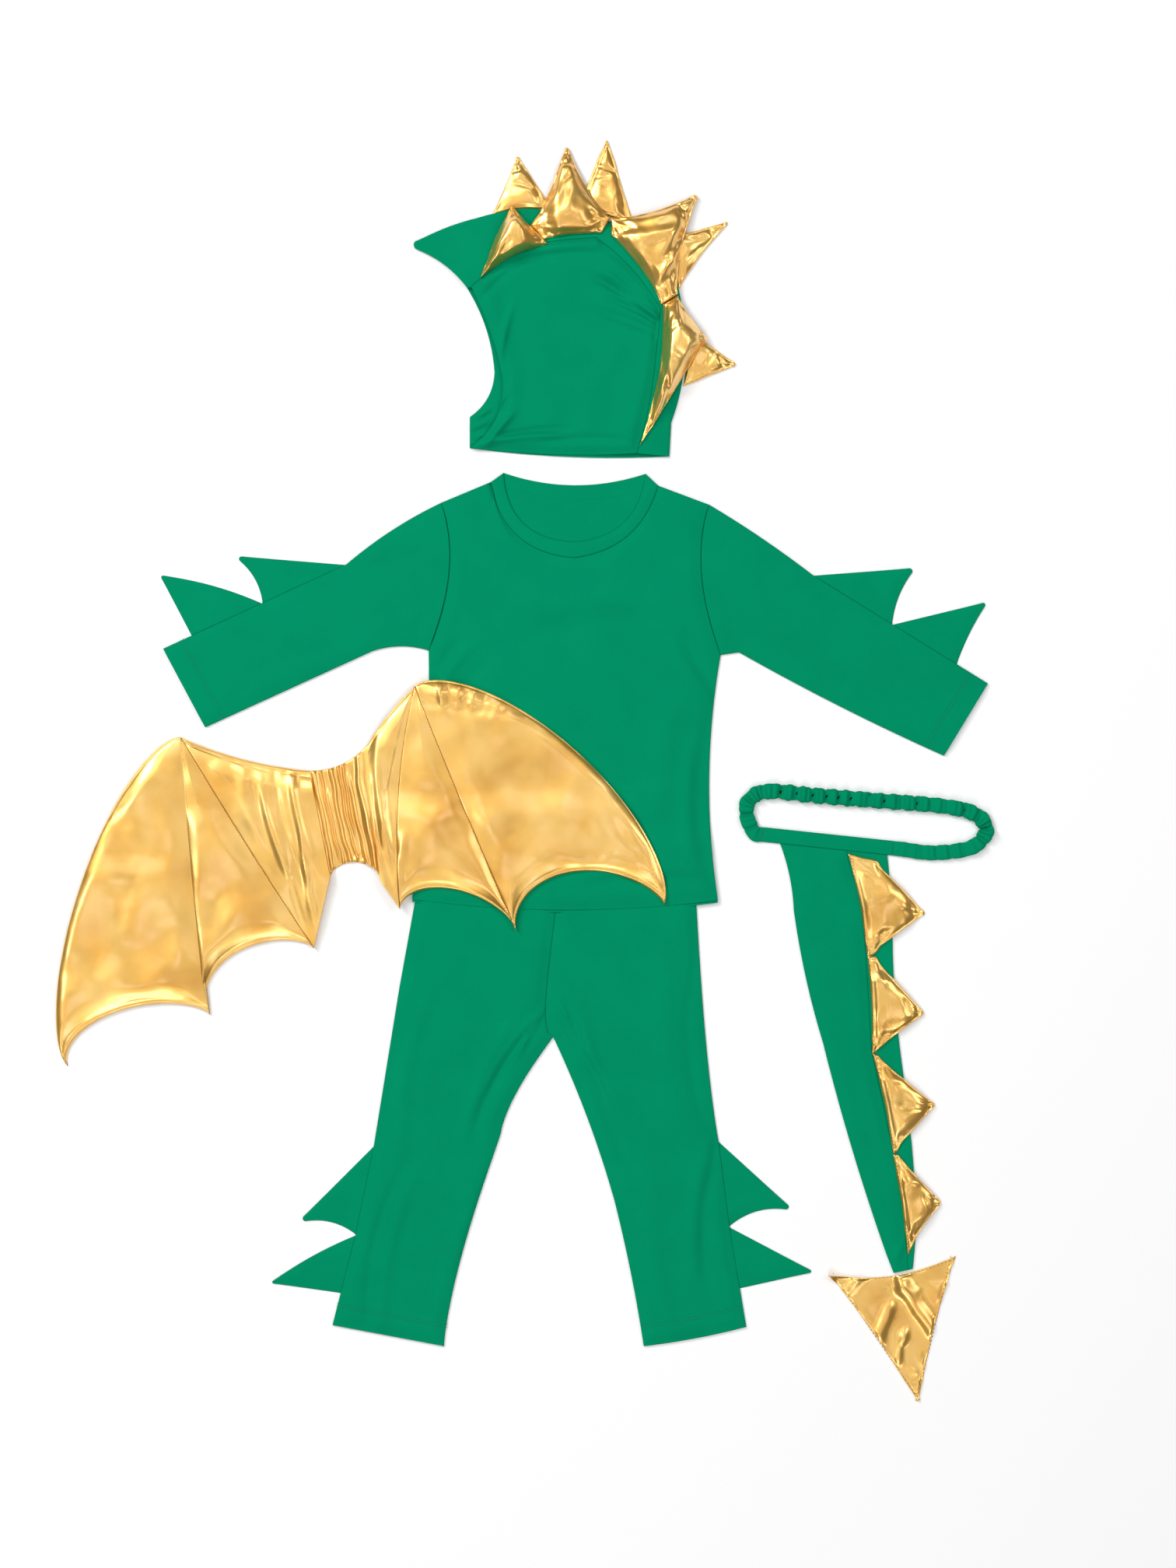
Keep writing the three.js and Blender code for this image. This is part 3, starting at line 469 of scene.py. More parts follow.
# %% Camera
MM_PER_PIXEL = 0.85
FRAME_PIXELS = {"width": 1512, "height": 2016}
PATTERN_ORIGIN_PIXEL = {"x": 677, "y": 990.5}
CAMERA_HEIGHT = 4.0
SENSOR_HEIGHT = 36.0

camera_data = bpy.data.cameras.new("camera")
camera_data.sensor_fit = "VERTICAL"
camera_data.sensor_height = SENSOR_HEIGHT
framed_height = FRAME_PIXELS["height"] * MM_PER_PIXEL * MM
camera_data.lens = SENSOR_HEIGHT * CAMERA_HEIGHT / framed_height
camera = linked("camera", camera_data)
middle_x = (FRAME_PIXELS["width"] / 2 - PATTERN_ORIGIN_PIXEL["x"]) * MM_PER_PIXEL + SHIFT[0]
middle_y = (PATTERN_ORIGIN_PIXEL["y"] - FRAME_PIXELS["height"] / 2) * MM_PER_PIXEL + SHIFT[1]
camera.location = (middle_x * MM, middle_y * MM, CAMERA_HEIGHT)
bpy.context.scene.camera = camera
print("the camera looks down at", round(middle_x, 1), round(middle_y, 1), "mm")

# %% [markdown]
# ## Flat-laid jersey
#
# A jersey panel is 1.2 mm thick. Where it is folded or sewn to its partner it rolls over, and a
# hem ends in an open edge that stays nearly square. The front panels rest on a little air: they
# stand one to three millimetres off the back, in slow swells that fade out towards the seams.

# %% Panels
AIR = 2.1
AIR_SWELLS = [(0.55, 95), (0.45, 42)]
ROLL_RADIUS = 2.2
OPEN_RADIUS = 0.7
SEAM_REACH = 14
LEAST_WALL = 0.25
DOWN_SIDES = ("west", "east")


def air_under(points, far, seed):
    """Slow swells under a front panel, in mm: none at an edge, and full from SEAM_REACH in."""
    return AIR * smooth(far, 0, SEAM_REACH) * (0.6 + 0.8 * swells(points, AIR_SWELLS, seed))


def rim_profile(far_from, folded):
    """The share of the cloth's thickness at each point: a quarter circle in from each edge, wide on
    the folded edges and narrow on the others."""
    share = 1.0
    for side, distance in far_from.items():
        radius = ROLL_RADIUS if side in folded else OPEN_RADIUS
        share = share * rolled(distance, radius)
    return share


def front_panel(name, points, level, folded, seed=0, folds=(), air=1.0, wall=CLOTH, room=0.0):
    """An upper layer: its underside is level where it meets its partner, or dips by the room that
    is left under it, and its top rolls down to it at the edges."""
    far_from = from_sides(points)
    nearest = np.minimum.reduce(list(far_from.values()))
    raised = air * air_under(points, nearest, seed)
    if len(folds):
        raised = np.maximum(-room, raised + creases(points, folds) * smooth(nearest, 0, 6))
    profile = rim_profile(far_from, folded)
    under = level + raised
    over = under + LEAST_WALL + (wall - LEAST_WALL) * profile
    return closed(name, points, over, under, green_jersey)


def back_panel(name, points, level, folded, folds=()):
    """A lower layer: its top is level apart from the folds that stand clear of what lies over it,
    and its underside rolls up to it at the edges."""
    profile = rim_profile(from_sides(points), folded)
    over = level + CLOTH + np.zeros(points.shape[:-1])
    under = over - LEAST_WALL - (CLOTH - LEAST_WALL) * profile
    if len(folds):
        over = over + np.maximum(0, creases(points, folds))
    return closed(name, points, over, under, green_jersey)


def as_jersey(piece, node, points, layers=1):
    """Hides the node that a jersey piece stands in for, and prints the piece's cut: a strip as long
    as the grid's lines from south to north and as wide as its area asks, times the layers that were
    cut in one."""
    length = np.linalg.norm(np.diff(points, axis=0), axis=-1).sum(axis=0).mean() * MM
    width = area_of(points) / length * layers
    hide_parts(node)
    print(piece.name, "cut to", round(width, 3), "by", round(length, 3), "m")


# %% [markdown]
# ## Trousers
#
# Each leg has a front and a back, sewn together down both sides. The waist is hidden under the
# top. The centre seam, the creases that radiate from the crotch and a few long soft folds are the
# only marks, and each hem has a double row of stitches.

# %% Leg edges
leg_edges = {
    "left": {
        "west": back(run((-118, -122), (-139, -238), (-167, -411), (-187, -508), (-212, -606))),
        "east": run((-90, -629, -7, 0.4), (-28, -396, -6, 0.4), (29, -291, -9, 0.2), (34, -122)),
        "south": run((-212, -606), (-90, -629)),
    },
    "right": {
        "west": back(run((34, -122, 9, 0.8), (29, -291, -4), (96, -470, -2), (128, -629))),
        "east": run((240, -608), (222, -499), (210, -406, -4, 0.4), (184, -122)),
        "south": run((128, -629, 2), (240, -608)),
    },
}
# x, y, heading, length, width, depth
LEG_FOLDS = {
    "left": [
        (14, -278, 58, 54, 2.34, -3.74), (6, -284, 56, 70, 3.06, 4.08),
        (-10, -300, 52, 90, 2.7, -3.74), (-20, -306, 56, 100, 4.5, 3.4),
        (-34, -336, 64, 120, 6.3, -3.06), (-46, -330, 66, 140, 8.1, 2.72),
        (-150, -330, 80, 170, 6.3, -2.04), (-132, -330, 80, 190, 9, 2.04),
        (-60, -500, 74, 200, 12.6, 2.38), (-166, -520, 78, 180, 6.3, -2.38),
        (-150, -522, 78, 180, 7.2, 2.04),
    ],
    "right": [
        (42, -276, 118, 50, 2.34, -3.74), (50, -284, 118, 70, 3.06, 3.74),
        (62, -306, 114, 90, 3.6, -3.06), (74, -316, 112, 110, 6.3, 3.06),
        (92, -380, 108, 130, 8.1, -2.38), (150, -300, 96, 210, 14.4, 2.38),
        (178, -300, 94, 200, 6.3, -2.04), (196, -480, 84, 160, 6.3, -2.38),
        (182, -480, 84, 160, 7.2, 2.04), (140, -540, 100, 140, 10.8, 2.04),
    ],
}

# %% Legs
LEG_STEP = 3.0
leg_grids = {side: grid(**edges, step=LEG_STEP) for side, edges in leg_edges.items()}
for seed, (side, points) in enumerate(leg_grids.items(), start=10):
    leg_back = back_panel(f"trouser_{side}_back", points, 0, DOWN_SIDES)
    leg_front = front_panel(
        f"trouser_{side}_front", points, FRONT_LEVEL, DOWN_SIDES, seed=seed, folds=LEG_FOLDS[side]
    )
    as_jersey(leg_back, f"leg_{side}_back", points)
    as_jersey(leg_front, f"leg_{side}_front", points)

# %% [markdown]
# ## Pressed tubes
#
# A sleeve, the waistband and the belt are tubes pressed flat. Their section is a flat loop with
# round ends, carried along the piece, once for the outside of the cloth and once for its inside,
# and the two are joined at each mouth, so that the opening really is open.


# %% Tubes
def loop_of(points, inset, height, swell):
    """A flattened loop over a grid: the upper half from west to east, then the lower half back.
    Points move inset mm in from both long edges, and the loop's half height follows a quarter
    circle at the edges."""
    far = from_sides(points)
    width = np.maximum(far["west"][:, -1:], 1e-6)
    share = (inset + far["west"] * (1 - 2 * inset / width)) / width
    first, last = points[:, :1], points[:, -1:]
    moved = points + (share - far["west"] / width)[..., None] * (last - first)
    depth = np.minimum(far["west"], far["east"]) * (1 - 2 * inset / width)
    half = height * rolled(depth, max(height, 0.4))
    upper = np.concatenate([moved, (half + swell)[..., None]], axis=-1)
    lower = np.concatenate([moved, -half[..., None]], axis=-1)
    return np.concatenate([upper, lower[:, -2:0:-1]], axis=1)


def ring_faces(rows, columns, start):
    """The cells of a grid whose last column meets its first, numbered from start."""
    numbers = start + np.arange(rows * columns).reshape(rows, columns)
    after = np.roll(numbers, -1, axis=1)
    cells = np.stack([numbers[:-1], after[:-1], after[1:], numbers[1:]], axis=-1)
    return cells.reshape(-1, 4), numbers, after


def tube(name, outside, inside, material):
    """The cloth between two rings of points, closed at both mouths."""
    rows, columns = outside.shape[:2]
    out_faces, out_numbers, out_after = ring_faces(rows, columns, 0)
    in_faces, in_numbers, in_after = ring_faces(rows, columns, rows * columns)
    mouths = [
        np.stack([out_numbers[k], in_numbers[k], in_after[k], out_after[k]], axis=-1)
        for k in (0, -1)
    ]
    faces = np.concatenate([out_faces, in_faces[:, ::-1], *mouths])
    vertices = np.concatenate([outside.reshape(-1, 3), inside.reshape(-1, 3)])
    return mesh_object(name, vertices, faces, material)


def pressed_tube(name, points, middle, air, seed=0, folds=()):
    """A tube of two layers of cloth over a grid, with slow swells in its upper layer."""
    far = from_sides(points)
    nearest = np.minimum(far["west"], far["east"])
    raised = air * air_under(points, nearest, seed)
    if len(folds):
        raised = np.maximum(0, raised + creases(points, folds) * smooth(nearest, 0, 12))
    outside = loop_of(points, 0, TWO_LAYERS / 2, raised)
    inside = loop_of(points, CLOTH, GAP / 2, raised)
    for ring in (outside, inside):
        ring[..., 2] += middle
    return tube(name, outside, inside, green_jersey)


# %% Waistband
WAIST_TAPER = 5
seam_left, seam_right = ((WAIST[side], WAIST["seam"]) for side in ("left", "right"))
top_left = (WAIST["left"] + WAIST_TAPER, WAIST["top"])
top_right = (WAIST["right"] - WAIST_TAPER, WAIST["top"])
waist_grid = grid(west=run(seam_left, seam_right), east=run(top_left, top_right))
waistband = pressed_tube("trouser_waistband", waist_grid, TWO_LAYERS / 2, air=0)
as_jersey(waistband, "waistband", waist_grid, layers=2)

# %% [markdown]
# ## The top
#
# The top's front and back lie over the trousers' waist and slope down to the surface above it. The
# armhole seams are where body and sleeve roll towards each other. The neck edge is bound with a
# doubled band that shows a step on both of its sides.

# %% The top's edges
BACK_HEM_DROP = 2.5
SLOPE = {"from": 4, "to": 40}
LEFT_ARMHOLE = (-94, 292, -15, 0.45)
LEFT_UNDERARM = (-107, 131, -6)
RIGHT_UNDERARM = (212, 126, -14, 0.55)
RIGHT_SHOULDER = (200, 290)
BACK_NECK = [(144, 311, -17), (-39, 315)]
FRONT_NECK = [(144, 311, -20), (52, 232, -24), (-39, 315)]


def top_edges(drop, *neckline):
    """The four edges of the front or the back, whose hem hangs drop mm lower."""
    return {
        "west": back(run(LEFT_ARMHOLE, LEFT_UNDERARM, (-125, -141 - drop))),
        "east": run((209, -142 - drop, -11), RIGHT_UNDERARM, RIGHT_SHOULDER),
        "south": run((-125, -141 - drop, 11), (209, -142 - drop)),
        "north": back(run(RIGHT_SHOULDER, *neckline, (-94, 292))),
    }


def lift(y):
    """How far the waist under the top lifts it, at a place y mm up the layout."""
    return STEPPED * (1 - smooth(y, WAIST["top"] + SLOPE["from"], WAIST["top"] + SLOPE["to"]))


# x, y, heading, length, width, depth
TOP_FOLDS = [
    (-92, 116, 58, 60, 3.6, -3.06), (-84, 108, 54, 70, 4.5, 3.06), (-70, 92, 48, 80, 6.3, -2.04),
    (190, 112, 122, 70, 3.6, -2.72), (180, 104, 124, 80, 5.4, 2.72), (60, 186, 4, 150, 10.8, 2.04),
    (60, 160, 8, 160, 10.8, -1.7), (150, 20, 80, 170, 16.2, 2.38), (188, -40, 92, 140, 6.3, -2.72),
    (174, -40, 90, 140, 8.1, 2.38), (20, 60, 20, 160, 18, 2.04), (120, -106, 3, 120, 7.2, 2.04),
    (130, -118, 2, 120, 4.5, -2.04),
]

# %% Front and back
back_grid = grid(**top_edges(BACK_HEM_DROP, *BACK_NECK))
front_grid = grid(**top_edges(0, *FRONT_NECK))
top_back = back_panel("shirt_back", back_grid, lift(back_grid[..., 1]), DOWN_SIDES)
top_level = FRONT_LEVEL + lift(front_grid[..., 1])
top_front = front_panel(
    "shirt_front", front_grid, top_level, DOWN_SIDES, seed=31, folds=TOP_FOLDS
)
as_jersey(top_back, "top_back", back_grid)
as_jersey(top_front, "top_front", front_grid)

# %% Neckband
BAND_WALL = 1.8
BAND_STEP = 2.5
BOUND = ("north", "south")


def band_grid(neck, *inner):
    """The grid of the binding between a neckline and the inner edge of the neck."""
    return grid(south=back(run(*neck)), north=back(run(*inner)), step=BAND_STEP)


front_band = band_grid(FRONT_NECK, (130, 324, -22), (52, 249.5, -24), (-25, 325))
back_band = band_grid(BACK_NECK, (130, 324, -13), (-25, 325))
band_front = front_panel(
    "neck_binding_front", front_band, FRONT_LEVEL, BOUND, air=0.3, wall=BAND_WALL
)
band_back = back_panel("neck_binding_back", back_band, 0, BOUND)
as_jersey(band_front, "neckband_front", front_band)
as_jersey(band_back, "neckband_back", back_band)

# %% Sleeves
sleeve_edges = {
    "left": {
        "west": run((-94, 292, 4), (-197, 225), (-397, 133)),
        "east": back(run((-351, 47), (-169, 130, -5), (-107, 131))),
        "south": run(LEFT_ARMHOLE, (-107, 131)),
        "north": run((-397, 133), (-351, 47)),
    },
    "right": {
        "west": run((212, 126), (232, 129, 3), (456, 16)),
        "east": back(run((504, 95), (312, 214, 2), (200, 290))),
        "south": run(RIGHT_UNDERARM, (200, 290)),
        "north": run((456, 16), (504, 95)),
    },
}
# x, y, heading, length, width, depth
SLEEVE_FOLDS = {
    "left": [
        (-150, 160, 20, 100, 9, 0.8), (-250, 150, 26, 190, 14.4, 0.64),
        (-205, 208, 26, 120, 4.5, -0.8), (-120, 150, 70, 60, 7.2, -0.8),
    ],
    "right": [
        (250, 150, -28, 100, 9, 0.8), (360, 120, -30, 180, 14.4, 0.64),
        (330, 190, -32, 140, 4.5, -0.64), (226, 148, 100, 50, 7.2, -0.64),
    ],
}
sleeve_grids = {side: grid(**edges) for side, edges in sleeve_edges.items()}
for seed, (side, points) in enumerate(sleeve_grids.items(), start=50):
    folds = SLEEVE_FOLDS[side]
    sleeve = pressed_tube(
        f"shirt_sleeve_{side}", points, TWO_LAYERS / 2, air=0.7, seed=seed, folds=folds
    )
    as_jersey(sleeve, f"sleeve_{side}", points, layers=2)


# %% [markdown]
# ## Points of every kind
#
# Fins, spikes and the tail's arrow are all a base with two sides that run to a tip. The tip is
# never sharp: turned cloth leaves a small round end, a few millimetres wide. The green fins are
# flat and doubled. The gold spikes, which come later, are stuffed.


# %% Spike grids
TIP_WIDTH = 6.0
TIP_BULGE = 0.45
ROUND = 0.6


def spike_grid(row, step):
    """The grid of a point: its sides run from the base's corners, past a shoulder where there is
    one, to the two ends of a small round tip."""
    start, end, tip = row["start"], row["end"], np.array(row["tip"], float)

    def ended(corner, shoulder, bow):
        last = np.array(shoulder or corner, float)
        near = tip + (last - tip) / np.linalg.norm(last - tip) * TIP_WIDTH
        corners = [corner, (*shoulder, bow)] if shoulder else [(*corner, bow)]
        return run(*corners, near), near

    west, near_west = ended(start, row.get("start_shoulder"), row.get("start_bow", 0))
    east, near_east = ended(end, row.get("end_shoulder"), -row.get("end_bow", 0))
    turn = np.cross(np.array(end, float) - start, tip - np.array(start, float))
    tip_bow = -np.sign(turn) * TIP_BULGE * TIP_WIDTH
    south = run((*start, row.get("base_bow", 0)), end)
    north = run((*near_west, tip_bow, 0.5, ROUND), near_east)
    return grid(west, east, south, north, step)


# %% Green fins
FIN_RISE = 1.0
FIN_EDGE = 0.3
# start, end, tip, and how far the first and the second side bow
FINS = {
    "sleeve_left_fin_1": ((-198, 224.5), (-288.5, 183), (-316, 234), 0, -5),
    "sleeve_left_fin_2": ((-289.5, 182.5), (-366, 147.3), (-401, 214), 4, 0),
    "sleeve_right_fin_1": ((314, 212.8), (399.5, 159.8), (423, 221), 0, 4),
    "sleeve_right_fin_2": ((400.5, 159.2), (470, 116.1), (503, 184), 0, 2),
    "leg_left_fin_1": ((-167, -411), (-186.8, -507), (-247, -491), 0, -6),
    "leg_left_fin_2": ((-187.2, -508.5), (-203, -571), (-281, -560), 3, 0),
    "leg_right_fin_1": ((210, -406), (221.9, -498), (289, -478), 0, 7),
    "leg_right_fin_2": ((222, -499.5), (233, -566), (314, -548), 0, 0),
}
FIN_STEP = 2.5
for seed, (node, row) in enumerate(FINS.items()):
    points = spike_grid(dict(zip(("start", "end", "tip", "start_bow", "end_bow"), row)), FIN_STEP)
    far = from_sides(points)
    nearest = np.minimum.reduce([far["west"], far["east"], far["north"]])
    x, y = points[..., 0], points[..., 1]
    soft = 0.6 * cloud(x, y, 22, 70 + seed) + 0.4 * cloud(x, y, 9, 90 + seed)
    wall = (CLOTH - FIN_EDGE) * rolled(nearest, ROLL_RADIUS)
    over = FIN_EDGE + wall * rolled(far["south"] + FIN_EDGE, 1.5)
    over = over + FIN_RISE * smooth(nearest, 0, SEAM_REACH) * (0.4 + soft)
    fin = closed(f"doubled_{node}", points, over, np.zeros_like(over), green_jersey)
    as_jersey(fin, node, points)


# %% [markdown]
# ## Foil relief
#
# Foil cloth takes a sharp crease where jersey would only bend. Three things shape it: puckers that
# stand square to a seam and die away within a centimetre, a crumple of ridges and flats inside,
# and long soft swells.


# %% Foil relief
def crumple(x, y, size, seed):
    """Ridges with flats between them, from 0 to 1: noise folded at its middle, on a place that is
    itself shifted by slower noise."""
    wander = size * 1.3
    sx = x + wander * (cloud(x, y, size * 1.7, seed + 7) - 0.5)
    sy = y + wander * (cloud(x, y, size * 1.7, seed + 8) - 0.5)
    folded = np.abs(2 * cloud(sx, sy, size, seed) - 1)
    return 1 - folded


def puckers(far, reach, spacing, seed, sides):
    """Short ridges square to the sewn edges: noise along the edge, times a fall with distance."""
    along_of = {"west": "south", "east": "south", "north": "west", "south": "west"}
    height = 0
    for k, side in enumerate(sides):
        along = far[along_of[side]]
        wave = cloud(along, along * 0 + 3.1 * k, spacing, seed + k)
        fine = cloud(along, along * 0 + 5.3 * k, spacing * 0.45, seed + 20 + k)
        height = height + (0.65 * wave + 0.35 * fine - 0.5) * np.exp(-far[side] / reach)
    return height


# %% [markdown]
# ## Wings
#
# Each wing is two layers of foil cloth with a thin filling, turned through, with two lines sewn
# from its peak to the cusps of its scalloped edge. The lines pinch it into three fields. Three
# grids that share the sewn lines give the pinch its true place, and each field rises quickly from
# its lines to a nearly flat middle.

# %% Wing edges
WING_STEP = 2.6


def wing_fields(peak, tip, cusp, inner_cusp, low_joint, high_joint, bows):
    """The four edges of each of the wing's three fields, from the outer one inwards."""
    arc = run((*peak, bows["arc"], 0.48, ROUND), tip)
    sewn = run((*peak, bows["sewn"]), cusp)
    inner_sewn = run((*peak, bows["inner_sewn"]), inner_cusp)
    top = run((*peak, bows["top"]), high_joint)
    lean = bows["lean"]
    scallop = run((*tip, bows["scallop"], lean, ROUND), cusp)
    inner = run((*cusp, bows["inner_scallop"], lean, ROUND), inner_cusp)
    joint = run(inner_cusp, low_joint, high_joint)
    at_peak = run(peak, (peak[0] + 1e-3, peak[1]))
    outlines = ((arc, sewn, scallop), (sewn, inner_sewn, inner), (inner_sewn, top, joint))
    return [(west, east, at_peak, north) for west, east, north in outlines]


WINGS = {
    "left": {
        "peak": (-377, 36), "tip": (-501, -323), "cusp": (-346, -267), "inner_cusp": (-232, -194),
        "low_joint": (-214, -116), "high_joint": (-237, 0),
        "bows": {
            "arc": 50, "sewn": 2, "inner_sewn": 2, "top": 6, "scallop": -37, "inner_scallop": -41,
            "lean": 0.42,
        },
    },
    "right": {
        "peak": (-122, 92), "tip": (150, -147), "cusp": (-11, -175), "inner_cusp": (-138, -151),
        "low_joint": (-160, -119), "high_joint": (-174, 28),
        "bows": {
            "arc": -63, "sewn": 2, "inner_sewn": 10, "top": 3, "scallop": 52, "inner_scallop": 31,
            "lean": 0.58,
        },
    },
}
# x, y, heading, length, width, depth: long folds beside the pleats, soft ones elsewhere
WING_FOLDS = {
    "left": [
        (-249, -50, 103, 120, 4.5, 2.4), (-243, -96, 100, 60, 2.2, 1.6),
        (-262, -70, 107, 130, 4.0, -1.2), (-276, -72, 108, 110, 4.0, 2.2),
        (-290, -56, 110, 90, 6.0, -1.2), (-304, -30, 104, 80, 9.0, 1.2),
        (-238, -130, 98, 70, 3.0, 1.8), (-252, -140, 104, 80, 3.0, -1.0),
        (-300, -150, 30, 90, 12, 0.9), (-310, -196, 24, 60, 8, -0.9), (-400, -60, 70, 160, 26, 0.8),
        (-440, -200, 80, 170, 24, 0.8), (-400, -270, 10, 90, 12, 0.8),
        (-430, -130, 60, 120, 16, -0.6),
    ],
    "right": [
        (-162, -20, 96, 110, 5.0, 2.0), (-168, -60, 97, 110, 3.0, 1.0),
        (-156, -96, 104, 70, 2.4, -1.0), (-148, -50, 97, 120, 4.0, -0.9),
        (-138, -100, 84, 60, 5.0, 1.5), (-116, 76, 100, 40, 2.4, 0.8), (-94, 84, 98, 34, 3.0, 1.2),
        (-84, 84, 92, 30, 3.0, -0.9), (-74, 84, 86, 34, 3.4, 1.1), (-58, 80, 76, 30, 4.0, 1.2),
        (-46, 76, 70, 28, 4.0, -0.9), (-30, 70, 62, 30, 5.0, 1.0), (-60, 66, 174, 150, 6.0, -1.0),
        (60, 10, 140, 180, 10, 0.9), (96, -60, 122, 90, 10, -1.3), (84, -104, 62, 50, 6, 0.9),
        (30, -80, 60, 90, 14, 0.9), (54, -100, 150, 60, 8, 0.8), (8, -150, 96, 50, 8, 1.0),
        (-60, -60, 110, 120, 16, -0.6),
    ],
}

# %% Wing surfaces
CLIMB = {"from": -186, "to": -148}
EARLIER = 34
WING_LOFT = 5.4
WING_REACH = 26
WING_SWELLS = [(3.0, 56), (2.2, 27)]
GROOVE = 0.12
OUTER_SIDES = [("west", "north"), ("north",), ("east",)]


def over_top(x, y):
    """The height of what the right wing lies on: the surface, then the top, then the waist."""
    return smooth(x, CLIMB["from"], CLIMB["to"]) * (STEPPED + 1.0 + lift(y - EARLIER))


def edge_roll(distance):
    """The turned edge: a ridge 2 mm in, and a narrow trough 5 mm in where the layers part."""
    return 0.9 * bell(distance, 2.2, 1.5) - 0.8 * bell(distance, 5.2, 1.2)


def wing_field(edges, outer, seed, folds):
    """One field's grid, its upper relief and its distance from the outer edges. A field sinks only
    slightly into a sewn line, and rolls right down at an outer edge."""
    points = grid(*edges, step=WING_STEP)
    far = from_sides(points)
    open_far = np.minimum.reduce([far[side] for side in outer])
    sewn_far = np.minimum.reduce([far[side] for side in ("west", "east") if side not in outer])
    inside = smooth(np.minimum(open_far, sewn_far * 0.8), 0, WING_REACH)
    loft = WING_LOFT * (0.3 * rolled(open_far, 5) + 0.7 * rolled(open_far, 30))
    groove = 1 - GROOVE * np.exp(-sewn_far)
    pucker = puckers(far, reach=12, spacing=15, seed=seed + 3, sides=outer)
    fold = creases(points, folds) * smooth(open_far, 0, 10)
    relief = loft * groove + inside * swells(points, WING_SWELLS, seed)
    relief = relief + fold + 1.3 * pucker * rolled(open_far, 4) + edge_roll(open_far)
    return points, np.maximum(relief, 0.0), open_far


for seed, (side, shape) in enumerate(WINGS.items()):
    fields = wing_fields(**shape)
    made = [
        wing_field(edges, outer, 200 + 40 * seed, WING_FOLDS[side])
        for edges, outer in zip(fields, OUTER_SIDES)
    ]
    bodies = []
    for k, (points, relief, nearest) in enumerate(made, start=1):
        x, y = points[..., 0], points[..., 1]
        floor_height = over_top(x, y) if side == "right" else np.zeros_like(x)
        under = floor_height + 0.5 * (1 - rolled(nearest, 2.5))
        over = floor_height + CLOTH * (0.5 + 0.5 * rolled(nearest, 2.5)) + relief
        bodies.append(closed(f"wing_{side}_field_{k}", points, over, under, gold_foil))
    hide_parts(f"wing_{side}")
    print("wing", side, "has", sum(len(body.data.polygons) for body in bodies), "faces")

# %% [markdown]
# ## The pleated piece between the wings
#
# Pleats run from the wings' upper edge to the arch under it. The tight ones crowd together in the
# middle, and broad soft ones lie on both sides. Each has a row of its own, with its place at the
# arch and at the upper edge, so they lean and crowd as the cloth does. A small tuck crosses them
# where they are caught down at the arch.

# %% Pleats
# place at the arch, place at the upper edge (shares from left to right), half width and height in
# mm, and the shares up the piece between which it stands
PLEATS = [
    (0.02, -0.03, 2.2, 1.4, -0.2, 1.2), (0.11, 0.05, 2.6, 2.2, -0.3, 1.2),
    (0.25, 0.16, 1.6, 2.6, 0.12, 1.2), (0.31, 0.24, 1.6, 1.6, -0.2, 0.75),
    (0.40, 0.33, 2.4, 2.6, -0.2, 1.2), (0.53, 0.44, 1.6, 2.0, -0.1, 1.2),
    (0.60, 0.52, 1.7, 2.6, 0.3, 1.2), (0.72, 0.60, 2.4, 2.2, -0.2, 0.85),
    (0.88, 0.80, 4.2, 2.4, -0.2, 1.2),
]
PLEAT_STEP = 0.8
PLEAT_LEAN = 7
pleats_arch = run((-214, -116, -17, 0.5, ROUND), (-160, -119))
gather_grid = grid(south=pleats_arch, north=run((-237, 0, 8), (-174, 28)), step=PLEAT_STEP)
across = from_sides(gather_grid)
wide = across["west"][:, -1:]
v = across["south"] / across["south"][-1:]
gather_height = np.zeros(v.shape)
for low, high, half_width, tall, begins, ends in PLEATS:
    bend = PLEAT_LEAN * np.sin(2.6 * np.pi * v + 9 * low) * (cloud(v * 40, 0 * v, 9, 301) - 0.4)
    away = across["west"] - wide * (low + (high - low) * v) - bend
    shown = smooth(v, begins - 0.12, begins + 0.12) * (1 - smooth(v, ends - 0.12, ends + 0.12))
    ridge = tall * shown * np.exp(-((np.abs(away) / half_width) ** 2.4))
    gather_height = np.maximum(gather_height, ridge)
gx, gy = gather_grid[..., 0], gather_grid[..., 1]
# x, y, heading, length, width, depth
TUCK = [
    (-192, -102, 42, 22, 2.6, 1.9), (-197, -107, 30, 26, 2.0, -1.6), (-183, -98, 70, 16, 1.6, -1.2),
]
gather_height = np.maximum(0, gather_height + 0.6 + creases(gather_grid, TUCK))
gather_floor = over_top(gx, gy)
ends_far = np.minimum(across["south"], across["north"])
gather_over = gather_floor + CLOTH * (0.5 + 0.5 * rolled(ends_far, 2))
gather_over = gather_over + gather_height * rolled(ends_far, 4)
gather_under = gather_floor + 0.5 * (1 - rolled(ends_far, 2))
gather = closed("wing_pleats", gather_grid, gather_over, gather_under, gold_foil)
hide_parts("wing_gather")
print(gather.name, "has", len(gather.data.polygons), "faces")


# %% [markdown]
# ## Stuffed spikes
#
# Twelve spikes and the tail's arrow are two layers of foil, sewn together, turned and stuffed. The
# shape comes from a cloth simulation: two flat layers that share their rim are blown up from
# within, and cloth that hardly stretches rises into an uneven cushion. The rim draws in as the
# point fills, so the result is carried back by the flat stretch and turn that fit its rim best, and
# keeps a share of what is left. Puckers, dents and creases are then pressed into the cushion.

# %% Cloth simulation
SIM_FRAMES = 20
DRAWN_IN = 0.3
SIM_CLOTH = {
    "mass": 0.1, "tension_stiffness": 40, "compression_stiffness": 40, "shear_stiffness": 14,
    "bending_stiffness": 0.06,
}


